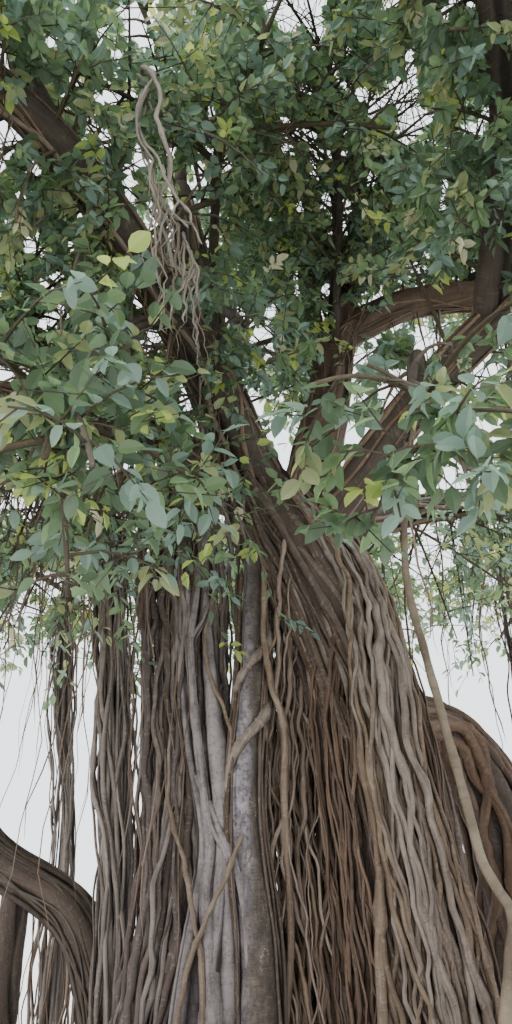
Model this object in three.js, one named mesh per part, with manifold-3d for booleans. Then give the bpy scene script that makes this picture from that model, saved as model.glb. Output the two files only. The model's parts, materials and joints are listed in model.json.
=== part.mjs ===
// A banyan tree: a leaning trunk draped with aerial roots, a smooth pillar root and a column of fused roots
// beside it, boughs that fork from the trunk's top, prop roots under them, and the masses of foliage they carry.
// Millimetres, +Z up, the origin in the middle of the trunk's flat cut at ground level, and -Y the front.
import * as THREE from "three";
import { mergeVertices } from "three/addons/utils/BufferGeometryUtils.js";
import Module from "manifold-3d";

const wasm = await Module();
wasm.setup();

const METRE = 1000;
const CLEARANCE = 0.4; // the gap where one piece meets the next, of which tidying may take a little
const TIDY = 0.1; // how far a surface may move where slivers are merged away
const BELOW_GROUND = -0.2; // metres; feet are drawn down to here and cut flat at the ground
const KEEP_AWAY = 45; // how far twigs and leaves stay from any limb
const CELL_GAP = 25; // how far a mass of foliage stays inside its own space

const THICK_BOUGH = 0.12; // metres; a bough that starts thicker than this has more sides

// Lengths and thicknesses in a mass of foliage are shares of its mean radius.
const BLADE_LENGTH = [0.51, 0.69];
const BLADE_WIDTH = 0.76; // over the blade's length
const BLADE_THICKNESS = 0.03; // over the blade's length
const BLADE_DROOP = [0.2, 0.7]; // how steeply a blade hangs
const BLADE_ROLL = [-0.8, 0.8]; // how far a blade tilts to one side
const BRANCHES = 7; // branches in each mass
const BRANCH_REACH = [0.62, 0.72]; // where a branch ends, over the half sizes of its mass's space
const BRANCH_FOOT = [0.4, 0.95]; // where a branch starts, along the stem
const BRANCH_ARCH = 0.09; // how high a branch bends up, over its length
const TWIG_RADIUS = 0.02;
const STEM_RADIUS = 0.032;
const GOLDEN_ANGLE = Math.PI * (3 - Math.sqrt(5));

const bark = new THREE.MeshStandardMaterial({ color: 0x6f6459, roughness: 0.9, metalness: 0 });
const paleBark = new THREE.MeshStandardMaterial({ color: 0x8d857f, roughness: 0.8, metalness: 0 });
const rootBark = new THREE.MeshStandardMaterial({ color: 0x85776a, roughness: 0.85, metalness: 0 });
const tanBark = new THREE.MeshStandardMaterial({ color: 0x8f8260, roughness: 0.8, metalness: 0 });
const leafGreen = new THREE.MeshStandardMaterial({ color: 0x2f4a2a, roughness: 0.5, metalness: 0 });

// Points are written in metres and turned to millimetres here.
const at = (x, y, z) => new THREE.Vector3(x, y, z).multiplyScalar(METRE);

// A number from 0 to 1 that depends only on its two seeds.
function chance(seed, k) {
  const wave = Math.sin(seed * 12.9898 + k * 78.233) * 43758.5453;
  return wave - Math.floor(wave);
}

const between = ([low, high], share) => low + (high - low) * share;

// A value read off a list that is spread evenly over t from 0 to 1.
function mixOf(values, t) {
  const place = Math.min(Math.max(t, 0), 1) * (values.length - 1);
  const low = Math.min(Math.floor(place), values.length - 2);
  return between([values[low], values[low + 1]], place - low);
}

function pathOf(points) {
  return new THREE.CatmullRomCurve3(points.map((p) => at(...p)), false, "catmullrom", 0.5);
}

// The solid that a closed geometry encloses.
function solidOf(geometry) {
  const bare = new THREE.BufferGeometry()
    .setAttribute("position", geometry.getAttribute("position"))
    .setIndex(geometry.index);
  const merged = mergeVertices(bare, 1e-3);
  return new wasm.Manifold(
    new wasm.Mesh({
      numProp: 3,
      vertProperties: merged.attributes.position.array,
      triVerts: new Uint32Array(merged.index.array),
    }),
  );
}

// A closed tube: at each centre a ring of sides points, perpendicular to the way the centres run, whose radius is
// radiusAt(share of the length, angle), and a fan over each end. It grows by grow on all sides, the ends too.
function tube(centres, radiusAt, sides, grow = 0) {
  const positions = [];
  const faces = [];
  const ends = [];
  const last = centres.length - 1;
  const across = new THREE.Vector3(1, 0, 0);
  centres.forEach((centre, i) => {
    const tangent = centres[Math.min(i + 1, last)].clone().sub(centres[Math.max(i - 1, 0)]).normalize();
    if (i === 0 && Math.abs(tangent.x) > 0.9) across.set(0, 1, 0);
    across.addScaledVector(tangent, -across.dot(tangent)).normalize();
    const up = tangent.clone().cross(across);
    const outwards = (i === last) - (i === 0);
    const middle = centre.clone().addScaledVector(tangent, grow * outwards);
    if (outwards) ends.push(middle);
    for (let k = 0; k < sides; k++) {
      const angle = (2 * Math.PI * k) / sides;
      const radius = radiusAt(i / last, angle) + grow;
      const point = middle.clone().addScaledVector(across, radius * Math.cos(angle));
      point.addScaledVector(up, radius * Math.sin(angle));
      positions.push(...point.toArray());
    }
  });
  ends.forEach((end) => positions.push(...end.toArray()));
  const [start, end] = [sides * (last + 1), sides * (last + 1) + 1];
  for (let k = 0; k < sides; k++) {
    const next = (k + 1) % sides;
    faces.push(start, next, k, end, last * sides + k, last * sides + next);
    for (let i = 0; i < last; i++) {
      const [a, b] = [i * sides + k, i * sides + next];
      faces.push(a, b, a + sides, b, b + sides, a + sides);
    }
  }
  return new THREE.BufferGeometry()
    .setAttribute("position", new THREE.Float32BufferAttribute(positions, 3))
    .setIndex(faces);
}

const sampled = (curve, steps) => Array.from({ length: steps + 1 }, (_, i) => curve.getPoint(i / steps));

// One tapering limb with shallow lobes, as fused roots leave, that turn about it along its length.
function limb({ points, radii, sides = 8, steps = 8, lobes = 0, depth = 0, turn = 0 }) {
  const curve = pathOf(points);
  const radiusAt = (t, angle) => mixOf(radii, t) * METRE * (1 + depth * Math.cos(lobes * angle + turn * t));
  return {
    make: (grow) => solidOf(tube(sampled(curve, steps), radiusAt, sides, grow)),
    reach: sampled(curve, 60).map((centre, i) => ({ centre, radius: radiusAt(i / 60, 0) * (1 + depth) })),
  };
}

// Several roots that grow together: strand j is a limb whose place beside the middle line is placeOf(j, t).
function rootsTogether({ points, strands, radiusOf, placeOf, sides = 5, steps = 9 }) {
  const curve = pathOf(points);
  const centresOf = (j, count) =>
    sampled(curve, count).map((centre, i) => centre.add(at(...placeOf(j, i / count))));
  return {
    make: (grow) =>
      Array.from({ length: strands }, (_, j) =>
        solidOf(tube(centresOf(j, steps), (t) => radiusOf(j, t) * METRE, sides, grow)),
      ).reduce((whole, strand) => whole.add(strand)),
    reach: Array.from({ length: strands }, (_, j) =>
      centresOf(j, 40).map((centre, i) => ({ centre, radius: radiusOf(j, i / 40) * METRE })),
    ).flat(),
  };
}

// Roots that hang as a round rope: the first is the core, and the rest wind round it and sink into it.
function rope({ points, radii, strands = 5, turns = 0.6, seed = 1, sides = 5, steps = 9 }) {
  const placeOf = (j, t) => {
    if (j === 0) return [0, 0, 0];
    const side = chance(seed, j) < 0.5 ? -1 : 1;
    const angle = 2 * Math.PI * (j / (strands - 1) + side * turns * t);
    const away = mixOf(radii, t) * (0.66 + 0.14 * Math.sin(7 * t + 5 * chance(seed, j + 20)));
    return [away * Math.cos(angle), away * Math.sin(angle), 0];
  };
  const radiusOf = (j, t) => mixOf(radii, t) * (j === 0 ? 0.5 : 0.3 + 0.08 * chance(seed, j + 40));
  return rootsTogether({ points, strands, radiusOf, placeOf, sides, steps });
}

const groundBlock = solidOf(
  new THREE.BoxGeometry(30 * METRE, 30 * METRE, METRE).translate(0, 0, -METRE / 2),
);

// The largest of the pieces that a cut leaves; the rest are scraps on the far side of what was cut away.
const largest = (solid) => solid.decompose().sort((a, b) => b.volume() - a.volume())[0];

const tree = new THREE.Group();
const wood = new Map();

function addMesh(name, solid, material) {
  const { vertProperties, triVerts } = solid.asOriginal().simplify(TIDY).getMesh();
  const geometry = new THREE.BufferGeometry()
    .setAttribute("position", new THREE.BufferAttribute(new Float32Array(vertProperties), 3))
    .setIndex(new THREE.BufferAttribute(new Uint32Array(triVerts), 1));
  const mesh = new THREE.Mesh(geometry, material);
  mesh.name = name;
  tree.add(mesh);
}

// Adds a woody piece. It starts inside the pieces that it grows from or lies on, and is cut clear of them.
function addWood(name, material, shape) {
  const taken = [...wood.values()].map(({ cleared }) => cleared);
  const cut = taken.reduce((solid, other) => solid.subtract(other), shape.make(0).subtract(groundBlock));
  wood.set(name, { cleared: shape.make(CLEARANCE), reach: shape.reach });
  addMesh(name, largest(cut), material);
}

// The trunk leans left from about half its height, up to the fork.
const TRUNK = {
  points: [
    [0.02, 0, BELOW_GROUND],
    [-0.04, 0, 0.5],
    [-0.13, 0, 1.3],
    [-0.2, 0, 2.2],
    [-0.42, 0.02, 3.1],
    [-0.8, 0.06, 4.0],
    [-1.08, 0.1, 4.55],
  ],
  radii: [0.6, 0.42, 0.35, 0.34, 0.34, 0.33, 0.2],
};
addWood("trunk", bark, limb({ ...TRUNK, sides: 20, steps: 9, lobes: 5, depth: 0.09, turn: 2.2 }));

// Roots that fell from the trunk's upper right side and now run down over its front. Each strand keeps to an angle
// from the front, towards the right, on a round that widens to the ground. The last two cross the others.
const DRAPE = {
  points: [
    [-0.5, 0.05, 4.25],
    [-0.44, 0.03, 3.6],
    [-0.3, 0, 2.8],
    [-0.16, 0, 1.6],
    [-0.06, 0, 0.7],
    [0, 0, BELOW_GROUND],
  ],
  round: [0.16, 0.26, 0.41, 0.44, 0.5, 0.72],
  angles: [-44, -20, 4, 28, 52],
};
const drapeAngle = (j, t) => {
  const swing = 7 * Math.sin(5 * t + 9 * chance(3, j));
  const crossing = [-60 + 130 * t, 80 - 140 * t];
  const degrees = j < DRAPE.angles.length ? DRAPE.angles[j] + swing : crossing[j - DRAPE.angles.length];
  return THREE.MathUtils.degToRad(degrees);
};
addWood(
  "draped_roots",
  rootBark,
  rootsTogether({
    points: DRAPE.points,
    strands: DRAPE.angles.length + 2,
    radiusOf: (j, t) => (0.042 + 0.02 * chance(5, j)) * (1 + 0.5 * Math.max(t - 0.7, 0)),
    placeOf: (j, t) => {
      const [angle, round] = [drapeAngle(j, t), mixOf(DRAPE.round, t)];
      return [round * Math.sin(angle), -round * Math.cos(angle), 0];
    },
    sides: 4,
    steps: 7,
  }),
);

// The smooth pale pillar that props the trunk, with a thin root wound about its upper half.
const PILLAR = {
  points: [
    [-1.05, -0.15, BELOW_GROUND],
    [-1.04, -0.15, 0.5],
    [-1.04, -0.15, 1.3],
    [-1.02, -0.13, 2.6],
    [-1.0, -0.06, 3.9],
    [-0.98, -0.02, 4.2],
  ],
  radii: [0.19, 0.125, 0.1, 0.085, 0.08, 0.08],
};
const WINDING = { low: 1.9, high: 3.35, turns: 2.1, away: 0.1, radius: 0.026, start: 0.5 };
const pillarCurve = pathOf(PILLAR.points);
const windingRoot = {
  centres: (count) =>
    Array.from({ length: count + 1 }, (_, i) => {
      const height = between([WINDING.high, WINDING.low], i / count) * METRE;
      const all = sampled(pillarCurve, 80);
      const centre = all.find((p) => p.z >= height).clone().setZ(height);
      const angle = WINDING.start - (2 * Math.PI * WINDING.turns * i) / count;
      return centre.add(at(WINDING.away * Math.cos(angle), WINDING.away * Math.sin(angle), 0));
    }),
};
const pillarLimb = limb({ ...PILLAR, sides: 8, steps: 6 });
addWood(
  "pale_pillar",
  paleBark,
  {
    make: (grow) =>
      pillarLimb
        .make(grow)
        .add(solidOf(tube(windingRoot.centres(10), () => WINDING.radius * METRE, 4, grow))),
    reach: pillarLimb.reach.map(({ centre, radius }) => ({ centre, radius: radius + 60 })),
  },
);

const BOUGHS = {
  bough_leader: {
    points: [[-1.0, 0.08, 4.35], [-1.33, 0.15, 5.4], [-1.55, 0.25, 6.7], [-1.75, 0.3, 7.95]],
    radii: [0.25, 0.2, 0.15, 0.09],
  },
  bough_right_rise: {
    points: [[-0.72, 0.08, 3.95], [-0.46, 0.22, 5.0], [-0.33, 0.3, 5.8], [-0.2, 0.33, 6.3]],
    radii: [0.22, 0.18, 0.16, 0.15],
  },
  bough_right: {
    points: [[-0.3, 0.32, 6.05], [0.45, 0.3, 6.42], [1.4, 0.1, 6.35], [2.4, -0.15, 6.4], [3.3, -0.3, 6.45]],
    radii: [0.14, 0.13, 0.125, 0.1, 0.07],
  },
  bough_left: {
    points: [[-0.95, 0.08, 4.25], [-1.5, -0.12, 4.55], [-2.2, -0.45, 4.74], [-3.0, -0.55, 4.85], [-3.7, -0.55, 5.0]],
    radii: [0.15, 0.12, 0.09, 0.07, 0.055],
  },
  bough_front_left: {
    points: [[-0.98, 0.0, 4.42], [-1.42, -0.8, 5.0], [-2.1, -1.9, 5.5], [-2.75, -2.7, 5.6]],
    radii: [0.17, 0.14, 0.12, 0.07],
  },
  bough_back_left: {
    points: [[-0.98, 0.12, 4.3], [-1.9, 1.1, 5.0], [-2.8, 2.1, 5.4], [-3.3, 2.7, 5.5]],
    radii: [0.17, 0.14, 0.11, 0.07],
  },
  bough_back: {
    points: [[-0.88, 0.1, 4.3], [-0.85, 1.3, 5.1], [-0.65, 2.6, 5.5], [-0.55, 3.4, 5.6]],
    radii: [0.17, 0.13, 0.1, 0.07],
  },
  bough_back_right: {
    points: [[-0.62, 0.1, 3.85], [0.3, 1.1, 4.7], [1.4, 2.1, 5.3], [2.0, 2.6, 5.4]],
    radii: [0.17, 0.13, 0.1, 0.07],
  },
  bough_front_right: {
    points: [[-0.6, 0.0, 3.85], [0.15, -0.95, 4.6], [1.2, -2.0, 5.2], [1.8, -2.6, 5.4]],
    radii: [0.15, 0.12, 0.1, 0.065],
  },
  bough_front: {
    points: [[0.44, -1.26, 4.8], [0.38, -2.2, 5.45], [0.02, -3.1, 5.9], [-0.3, -3.75, 6.0]],
    radii: [0.1, 0.09, 0.075, 0.06],
  },
  bough_upper_front_left: {
    points: [[-2.05, -1.85, 5.48], [-2.4, -1.9, 6.15], [-2.65, -1.95, 6.7]],
    radii: [0.09, 0.075, 0.055],
  },
  bough_upper_left: {
    points: [[-1.48, 0.22, 6.2], [-2.1, 0.45, 6.75], [-2.65, 0.6, 7.1]],
    radii: [0.1, 0.08, 0.06],
  },
  bough_upper_back: {
    points: [[-1.55, 0.25, 6.6], [-1.35, 1.1, 7.1], [-1.15, 1.7, 7.35]],
    radii: [0.1, 0.08, 0.055],
  },
  bough_upper_right: {
    points: [[0.8, 0.24, 6.42], [1.05, 0.5, 6.85], [1.3, 0.65, 7.2]],
    radii: [0.085, 0.07, 0.055],
  },
  bough_upper_front: {
    points: [[0.24, -2.6, 5.67], [0.27, -2.7, 6.2], [0.25, -2.75, 6.75]],
    radii: [0.07, 0.06, 0.05],
  },
  bough_inner: {
    points: [[-1.4, 0.17, 5.7], [-1.36, -0.2, 5.92], [-1.34, -0.5, 6.02]],
    radii: [0.07, 0.055, 0.045],
  },
  bough_low_left: {
    points: [[-1.5, -0.93, 5.06], [-1.7, -1.35, 4.75], [-1.85, -1.75, 4.2], [-1.9, -1.95, 3.9]],
    radii: [0.05, 0.042, 0.035, 0.028],
  },
  bough_low_right: {
    points: [[0.1, -0.88, 4.56], [-0.05, -1.4, 4.45], [-0.2, -1.85, 4.05], [-0.28, -2.1, 3.75]],
    radii: [0.045, 0.038, 0.03, 0.024],
  },
};
for (const [name, { points, radii }] of Object.entries(BOUGHS)) {
  const thick = radii[0] > THICK_BOUGH;
  addWood(name, bark, limb({ points, radii, sides: thick ? 8 : 6, steps: points.length + (thick ? 1 : 0) }));
}

// The column of fused roots under the left bough, with a slanting web to the pillar.
const COLUMN = {
  points: [
    [-1.45, 0.02, BELOW_GROUND],
    [-1.42, 0.0, 0.7],
    [-1.38, -0.02, 1.6],
    [-1.4, -0.02, 2.6],
    [-1.45, -0.05, 3.6],
    [-1.5, -0.1, 4.5],
  ],
  halfWidth: [0.42, 0.3, 0.25, 0.25, 0.24, 0.13],
};
const COLUMN_STRANDS = [-0.9, -0.45, 0, 0.45, 0.9];
const columnRoots = rootsTogether({
  points: COLUMN.points,
  strands: COLUMN_STRANDS.length + 1,
  radiusOf: (j, t) =>
    j === COLUMN_STRANDS.length ? 0.05 : (0.062 + 0.02 * chance(11, j)) * mixOf([1.5, 1.1, 1, 0.8, 0.6], t),
  placeOf: (j, t) => {
    const wide = mixOf(COLUMN.halfWidth, t);
    if (j === COLUMN_STRANDS.length) return [wide * (1 - 2 * t), -0.02, 0];
    const sway = 0.1 * Math.sin(6 * t + 8 * chance(12, j));
    const depth = 0.07 * Math.sin(4 * j + 2 * t) * mixOf([1.6, 1, 1, 1, 0.5], t);
    return [wide * (COLUMN_STRANDS[j] + sway), depth, 0];
  },
  sides: 4,
  steps: 6,
});
addWood("left_root_column", rootBark, columnRoots);

// A thick root that arches out of the trunk's right side and stands as a second trunk behind it.
addWood(
  "right_trunk",
  bark,
  limb({
    points: [
      [-0.2, 0.15, 2.55], [0.2, 0.5, 2.72], [0.55, 0.75, 2.5], [0.75, 0.88, 1.9],
      [0.82, 0.92, 1.1], [0.86, 0.95, BELOW_GROUND],
    ],
    radii: [0.13, 0.15, 0.19, 0.24, 0.28, 0.42],
    sides: 12, steps: 8, lobes: 4, depth: 0.1, turn: 3,
  }),
);

// The low limb on the left that slants down to the ground beside the column, and the root that stands under it.
addWood(
  "slanting_prop",
  bark,
  limb({
    points: [
      [-3.35, -0.55, 4.92], [-3.62, -0.1, 4.1], [-3.45, 0.25, 2.9], [-2.8, 0.48, 1.95],
      [-2.15, 0.56, 1.5], [-1.9, 0.6, 0.75], [-1.88, 0.62, BELOW_GROUND],
    ],
    radii: [0.055, 0.085, 0.11, 0.125, 0.13, 0.14, 0.2],
    sides: 10, steps: 9, lobes: 3, depth: 0.12, turn: 4,
  }),
);
addWood(
  "slanting_prop_foot",
  bark,
  limb({
    points: [[-2.55, 0.52, 1.74], [-2.55, 0.54, 0.9], [-2.52, 0.56, BELOW_GROUND]],
    radii: [0.085, 0.09, 0.15],
    sides: 8, steps: 3, lobes: 3, depth: 0.1, turn: 1,
  }),
);

// The thick bare root that snakes down in front of the trunk's right side.
addWood(
  "sinuous_root",
  tanBark,
  limb({
    points: [
      [0.05, -0.84, 4.52], [-0.05, -0.68, 3.9], [-0.07, -0.58, 3.4], [-0.02, -0.55, 2.95], [0.05, -0.57, 2.5],
      [0.08, -0.6, 2.1], [0.14, -0.62, 1.75], [0.27, -0.65, 1.53], [0.2, -0.72, 1.25], [0.17, -0.78, 0.7],
      [0.24, -0.84, BELOW_GROUND],
    ],
    radii: [0.022, 0.025, 0.027, 0.029, 0.03, 0.031, 0.032, 0.034, 0.034, 0.04, 0.055],
    sides: 6, steps: 18,
  }),
);

// The curtain of thin roots under the leaning trunk.
const CURTAIN = {
  points: [[-0.72, 0.28, 3.85], [-0.72, 0.36, 2.9], [-0.7, 0.38, 1.7], [-0.66, 0.4, 0.6], [-0.66, 0.42, BELOW_GROUND]],
  halfWidth: [0.2, 0.24, 0.27, 0.27, 0.3],
  strands: [-1, -0.5, 0, 0.5, 1],
};
addWood(
  "hanging_roots_middle",
  rootBark,
  rootsTogether({
    points: CURTAIN.points,
    strands: CURTAIN.strands.length + 1,
    sides: 4,
    steps: 5,
    radiusOf: (j, t) => 0.03 + 0.014 * chance(21, j) + 0.012 * t,
    placeOf: (j, t) => {
      const wide = mixOf(CURTAIN.halfWidth, t);
      const place = j < CURTAIN.strands.length ? CURTAIN.strands[j] : 1 - 2 * t;
      return [wide * (place + 0.12 * Math.sin(7 * t + 9 * chance(22, j))), 0.015 * Math.sin(6 * t + j), 0];
    },
  }),
);

// Ropes of hanging roots that have reached the ground under the boughs.
const ROPES = {
  hanging_roots_left: {
    points: [[-2.1, -0.41, 4.72], [-2.02, 0.05, 3.6], [-1.93, 0.2, 2.5], [-1.84, 0.24, 1.2], [-1.84, 0.24, BELOW_GROUND]],
    radii: [0.06, 0.1, 0.11, 0.11, 0.15],
    strands: 4,
  },
  hanging_roots_far_left: {
    points: [[-2.78, 2.09, 5.39], [-2.86, 2.2, 3.8], [-2.66, 2.26, 2.0], [-2.62, 2.28, BELOW_GROUND]],
    radii: [0.06, 0.09, 0.1, 0.16],
  },
  leader_roots: {
    points: [[-1.7, 0.28, 7.6], [-1.84, 0.02, 6.9], [-1.7, -0.08, 6.1], [-1.52, -0.1, 5.3], [-1.15, -0.02, 4.55]],
    radii: [0.04, 0.09, 0.1, 0.08, 0.06],
    strands: 4,
  },
  hanging_roots_right: {
    points: [[1.25, 0.14, 6.33], [1.08, 0.12, 4.8], [1.16, 0.1, 2.4], [1.3, 0.1, BELOW_GROUND]],
    radii: [0.06, 0.1, 0.13, 0.19],
    strands: 4,
  },
  prop_root_right: {
    points: [[2.75, -0.22, 6.4], [2.82, -0.3, 4.4], [2.8, -0.32, 2.2], [2.86, -0.32, BELOW_GROUND]],
    radii: [0.06, 0.09, 0.12, 0.2],
  },
  prop_root_back: {
    points: [[-0.6, 3.0, 5.54], [-0.56, 3.06, 3.8], [-0.6, 3.1, 2.0], [-0.56, 3.12, BELOW_GROUND]],
    radii: [0.06, 0.1, 0.13, 0.2],
  },
  prop_root_back_right: {
    points: [[1.45, 2.14, 5.3], [1.5, 2.2, 3.7], [1.46, 2.22, 2.0], [1.5, 2.24, BELOW_GROUND]],
    radii: [0.06, 0.09, 0.12, 0.19],
  },
  prop_root_front_left: {
    points: [[-2.5, -2.4, 5.56], [-2.62, -2.5, 4.0], [-2.66, -2.52, 2.0], [-2.68, -2.54, BELOW_GROUND]],
    radii: [0.06, 0.08, 0.1, 0.17],
  },
  prop_root_front_right: {
    points: [[1.45, -2.26, 5.28], [1.5, -2.32, 3.8], [1.46, -2.34, 2.0], [1.5, -2.36, BELOW_GROUND]],
    radii: [0.06, 0.09, 0.11, 0.18],
  },
};
Object.entries(ROPES).forEach(([name, { points, radii, strands }], i) => {
  const fused = () => limb({ points, radii, sides: 9, steps: 5, lobes: 3, depth: 0.2, turn: 2.5 });
  const loose = () => rope({ points, radii, strands, seed: 31 + i, sides: 4, steps: 6, turns: 0.5 });
  addWood(name, rootBark, strands ? loose() : fused());
});

// The masses of foliage: the bough that each grows from, the middle of its space and the half sizes of that space.
const FOLIAGE = {
  foliage_top: { on: "bough_leader", middle: [-1.75, 0.3, 9.2], half: [2.2, 2.2, 1.35] },
  foliage_upper_front_left: { on: "bough_upper_front_left", middle: [-3.3, -2.3, 7.7], half: [2.1, 2.1, 1.5] },
  foliage_upper_left: { on: "bough_upper_left", middle: [-4.1, 1.2, 7.8], half: [2.1, 2.1, 1.5] },
  foliage_upper_back: { on: "bough_upper_back", middle: [-1.1, 3.1, 8.0], half: [2.3, 2.2, 1.5] },
  foliage_upper_right: { on: "bough_upper_right", middle: [2.2, 1.0, 8.0], half: [2.3, 2.4, 1.5] },
  foliage_upper_front: { on: "bough_upper_front", middle: [0.1, -2.8, 7.9], half: [2.2, 2.1, 1.5] },
  foliage_left: { on: "bough_left", middle: [-5.3, -0.6, 5.1], half: [2.2, 2.3, 1.9] },
  foliage_front_left: { on: "bough_front_left", middle: [-4.1, -3.9, 5.1], half: [2.3, 2.3, 1.9] },
  foliage_back_left: { on: "bough_back_left", middle: [-4.4, 3.6, 5.1], half: [2.3, 2.3, 1.9] },
  foliage_back: { on: "bough_back", middle: [-0.5, 5.0, 5.2], half: [2.4, 2.2, 1.9] },
  foliage_back_right: { on: "bough_back_right", middle: [3.1, 3.7, 5.1], half: [2.3, 2.3, 1.9] },
  foliage_right: { on: "bough_right", middle: [4.8, 0.0, 5.3], half: [2.2, 2.4, 1.9] },
  foliage_front_right: { on: "bough_front_right", middle: [3.1, -3.7, 5.1], half: [2.3, 2.3, 1.9] },
  foliage_front: { on: "bough_front", middle: [-0.5, -5.1, 5.8], half: [2.3, 2.0, 1.5] },
  foliage_inner: { on: "bough_inner", middle: [-1.25, -1.6, 6.2], half: [1.7, 1.25, 1.1] },
  foliage_low_left: { on: "bough_low_left", middle: [-1.85, -2.35, 3.2], half: [1.1, 0.95, 0.8] },
  foliage_low_right: { on: "bough_low_right", middle: [-0.3, -2.65, 3.15], half: [0.85, 0.8, 0.65] },
};
const masses = Object.entries(FOLIAGE).map(([name, { on, middle, half }]) => ({
  name,
  on,
  middle: at(...middle),
  half: at(...half),
  size: ((half[0] + half[1] + half[2]) / 3) * METRE,
}));

// The space of a mass: its ellipsoid, and its side of the plane between it and every other mass.
function insideSpace(mass, point) {
  const p = point.clone().sub(mass.middle).divide(mass.half);
  if (p.length() > 1) return false;
  return masses.every((other) => {
    if (other === mass) return true;
    const way = other.middle.clone().sub(mass.middle);
    const apart = way.length();
    const share = 0.5 + (mass.size ** 2 - other.size ** 2) / (2 * apart * apart);
    return point.clone().sub(mass.middle).dot(way) / apart < share * apart - CELL_GAP;
  });
}

const limbs = [...wood].flatMap(([name, { reach }]) => reach.map((r) => ({ ...r, name })));
// True where a box, given by its middle, its three directions and its half sizes, is clear of every limb but one.
function clearOfLimbs(middle, directions, halves, except) {
  return limbs.every(({ centre, radius, name }) => {
    if (name === except) return true;
    const away = centre.clone().sub(middle);
    const outside = directions.map((d, i) => Math.max(Math.abs(away.dot(d)) - halves[i], 0));
    return Math.hypot(...outside) > radius + KEEP_AWAY;
  });
}

// A leaf spray as one blade of eight faces, from its root towards its tip, with its flat side facing up.
function blade(root, way, up, length) {
  const side = way.clone().cross(up).normalize();
  const flat = side.clone().cross(way).normalize();
  const widest = root.clone().addScaledVector(way, 0.48 * length);
  const points = [
    root,
    root.clone().addScaledVector(way, length),
    widest.clone().addScaledVector(side, 0.5 * BLADE_WIDTH * length),
    widest.clone().addScaledVector(side, -0.5 * BLADE_WIDTH * length),
    widest.clone().addScaledVector(flat, 0.5 * BLADE_THICKNESS * length),
    widest.clone().addScaledVector(flat, -0.5 * BLADE_THICKNESS * length),
  ];
  const middle = root.clone().addScaledVector(way, 0.5 * length);
  const halves = [0.5 * length, 0.5 * BLADE_WIDTH * length, 0.5 * BLADE_THICKNESS * length];
  const geometry = new THREE.BufferGeometry()
    .setAttribute("position", new THREE.Float32BufferAttribute(points.flatMap((p) => p.toArray()), 3))
    .setIndex([0, 2, 4, 2, 1, 4, 1, 3, 4, 3, 0, 4, 2, 0, 5, 1, 2, 5, 3, 1, 5, 0, 3, 5]);
  return { points, solid: solidOf(geometry), box: [middle, [way, side, flat], halves] };
}

// A tapering three-sided twig through the points given, with the box round each of its lengths.
function twig(points, thick, thin) {
  const boxes = points.slice(1).map((to, i) => {
    const way = to.clone().sub(points[i]);
    const length = way.length();
    way.normalize();
    const side = new THREE.Vector3(-way.y, way.x, 0.01).normalize();
    const middle = points[i].clone().lerp(to, 0.5);
    return [middle, [way, side, way.clone().cross(side)], [length / 2, thick, thick]];
  });
  return { points, solid: solidOf(tube(points, (t) => thick + (thin - thick) * t, 3)), boxes };
}

// Branch k of a mass leaves its stem part way along and heads for an even share of the space's surface.
function branchOf(mass, seed, tip, k) {
  const level = 1 - (2 * (k + 0.5)) / BRANCHES;
  const turned = GOLDEN_ANGLE * k + 2 * Math.PI * chance(seed, 0);
  const round = Math.sqrt(1 - level * level);
  const way = new THREE.Vector3(round * Math.cos(turned), round * Math.sin(turned), level);
  const reach = between(BRANCH_REACH, chance(seed, k + 1));
  const end = way.multiply(mass.half).multiplyScalar(reach).add(mass.middle);
  const start = tip.clone().lerp(mass.middle, between(BRANCH_FOOT, chance(seed, k + 11)));
  const bend = start.clone().lerp(end, 0.5);
  bend.z += BRANCH_ARCH * start.distanceTo(end);
  return { start, bend, end };
}

// Where the leaf sprays of a branch stand: how far along its outer half, and the turn away from it, in degrees.
const SPRAYS = [[0.97, 0], [0.66, 66], [0.5, -66], [0.02, 78]];

function growMass(mass, seed) {
  const path = pathOf(BOUGHS[mass.on].points);
  const tip = path.getPoint(1);
  const stemThick = Math.min(STEM_RADIUS * mass.size, BOUGHS[mass.on].radii.at(-1) * METRE * 0.9);
  const twigThick = Math.min(TWIG_RADIUS * mass.size, 0.8 * stemThick);
  const free = (points, boxes) =>
    points.every((p) => insideSpace(mass, p)) && boxes.every((box) => clearOfLimbs(...box, mass.on));
  const stem = twig([path.getPoint(0.96), tip, mass.middle], stemThick, twigThick).solid;
  const twigs = [];
  const blades = [];
  for (let k = 0; k < BRANCHES; k++) {
    const { start, bend, end } = branchOf(mass, seed, tip, k);
    const shares = [1, 0.5, 0.15];
    const grown = shares
      .map((share) => twig([start, bend, bend.clone().lerp(end, share)], twigThick, 0.5 * twigThick))
      .find(({ points, boxes }) => free(points.slice(1), boxes));
    if (!grown) continue;
    twigs.push(grown.solid);
    const tipPoint = grown.points[2];
    const outward = tipPoint.clone().sub(bend).normalize();
    SPRAYS.forEach(([along, turned], n) => {
      const roll = between(BLADE_ROLL, chance(seed, 40 + 5 * k + n));
      const up = new THREE.Vector3(roll, -roll, 1).addScaledVector(outward, -outward.z).normalize();
      const way = outward.clone().applyAxisAngle(up, THREE.MathUtils.degToRad(turned));
      way.z -= between(BLADE_DROOP, chance(seed, 90 + 5 * k + n));
      const length = between(BLADE_LENGTH, chance(seed, 140 + 5 * k + n)) * mass.size;
      const spray = blade(bend.clone().lerp(tipPoint, along), way.normalize(), up, length);
      const apart = blades.every((other) => other.minGap(spray.solid, 5) > 0);
      if (apart && free(spray.points.slice(1), [spray.box])) blades.push(spray.solid);
    });
  }
  const whole = [stem, ...twigs, ...blades].reduce((joined, piece) => joined.add(piece));
  return largest(whole.subtract(wood.get(mass.on).cleared));
}

masses.forEach((mass, i) => addMesh(mass.name, growMass(mass, i + 1), leafGreen));

export default tree;
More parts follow.
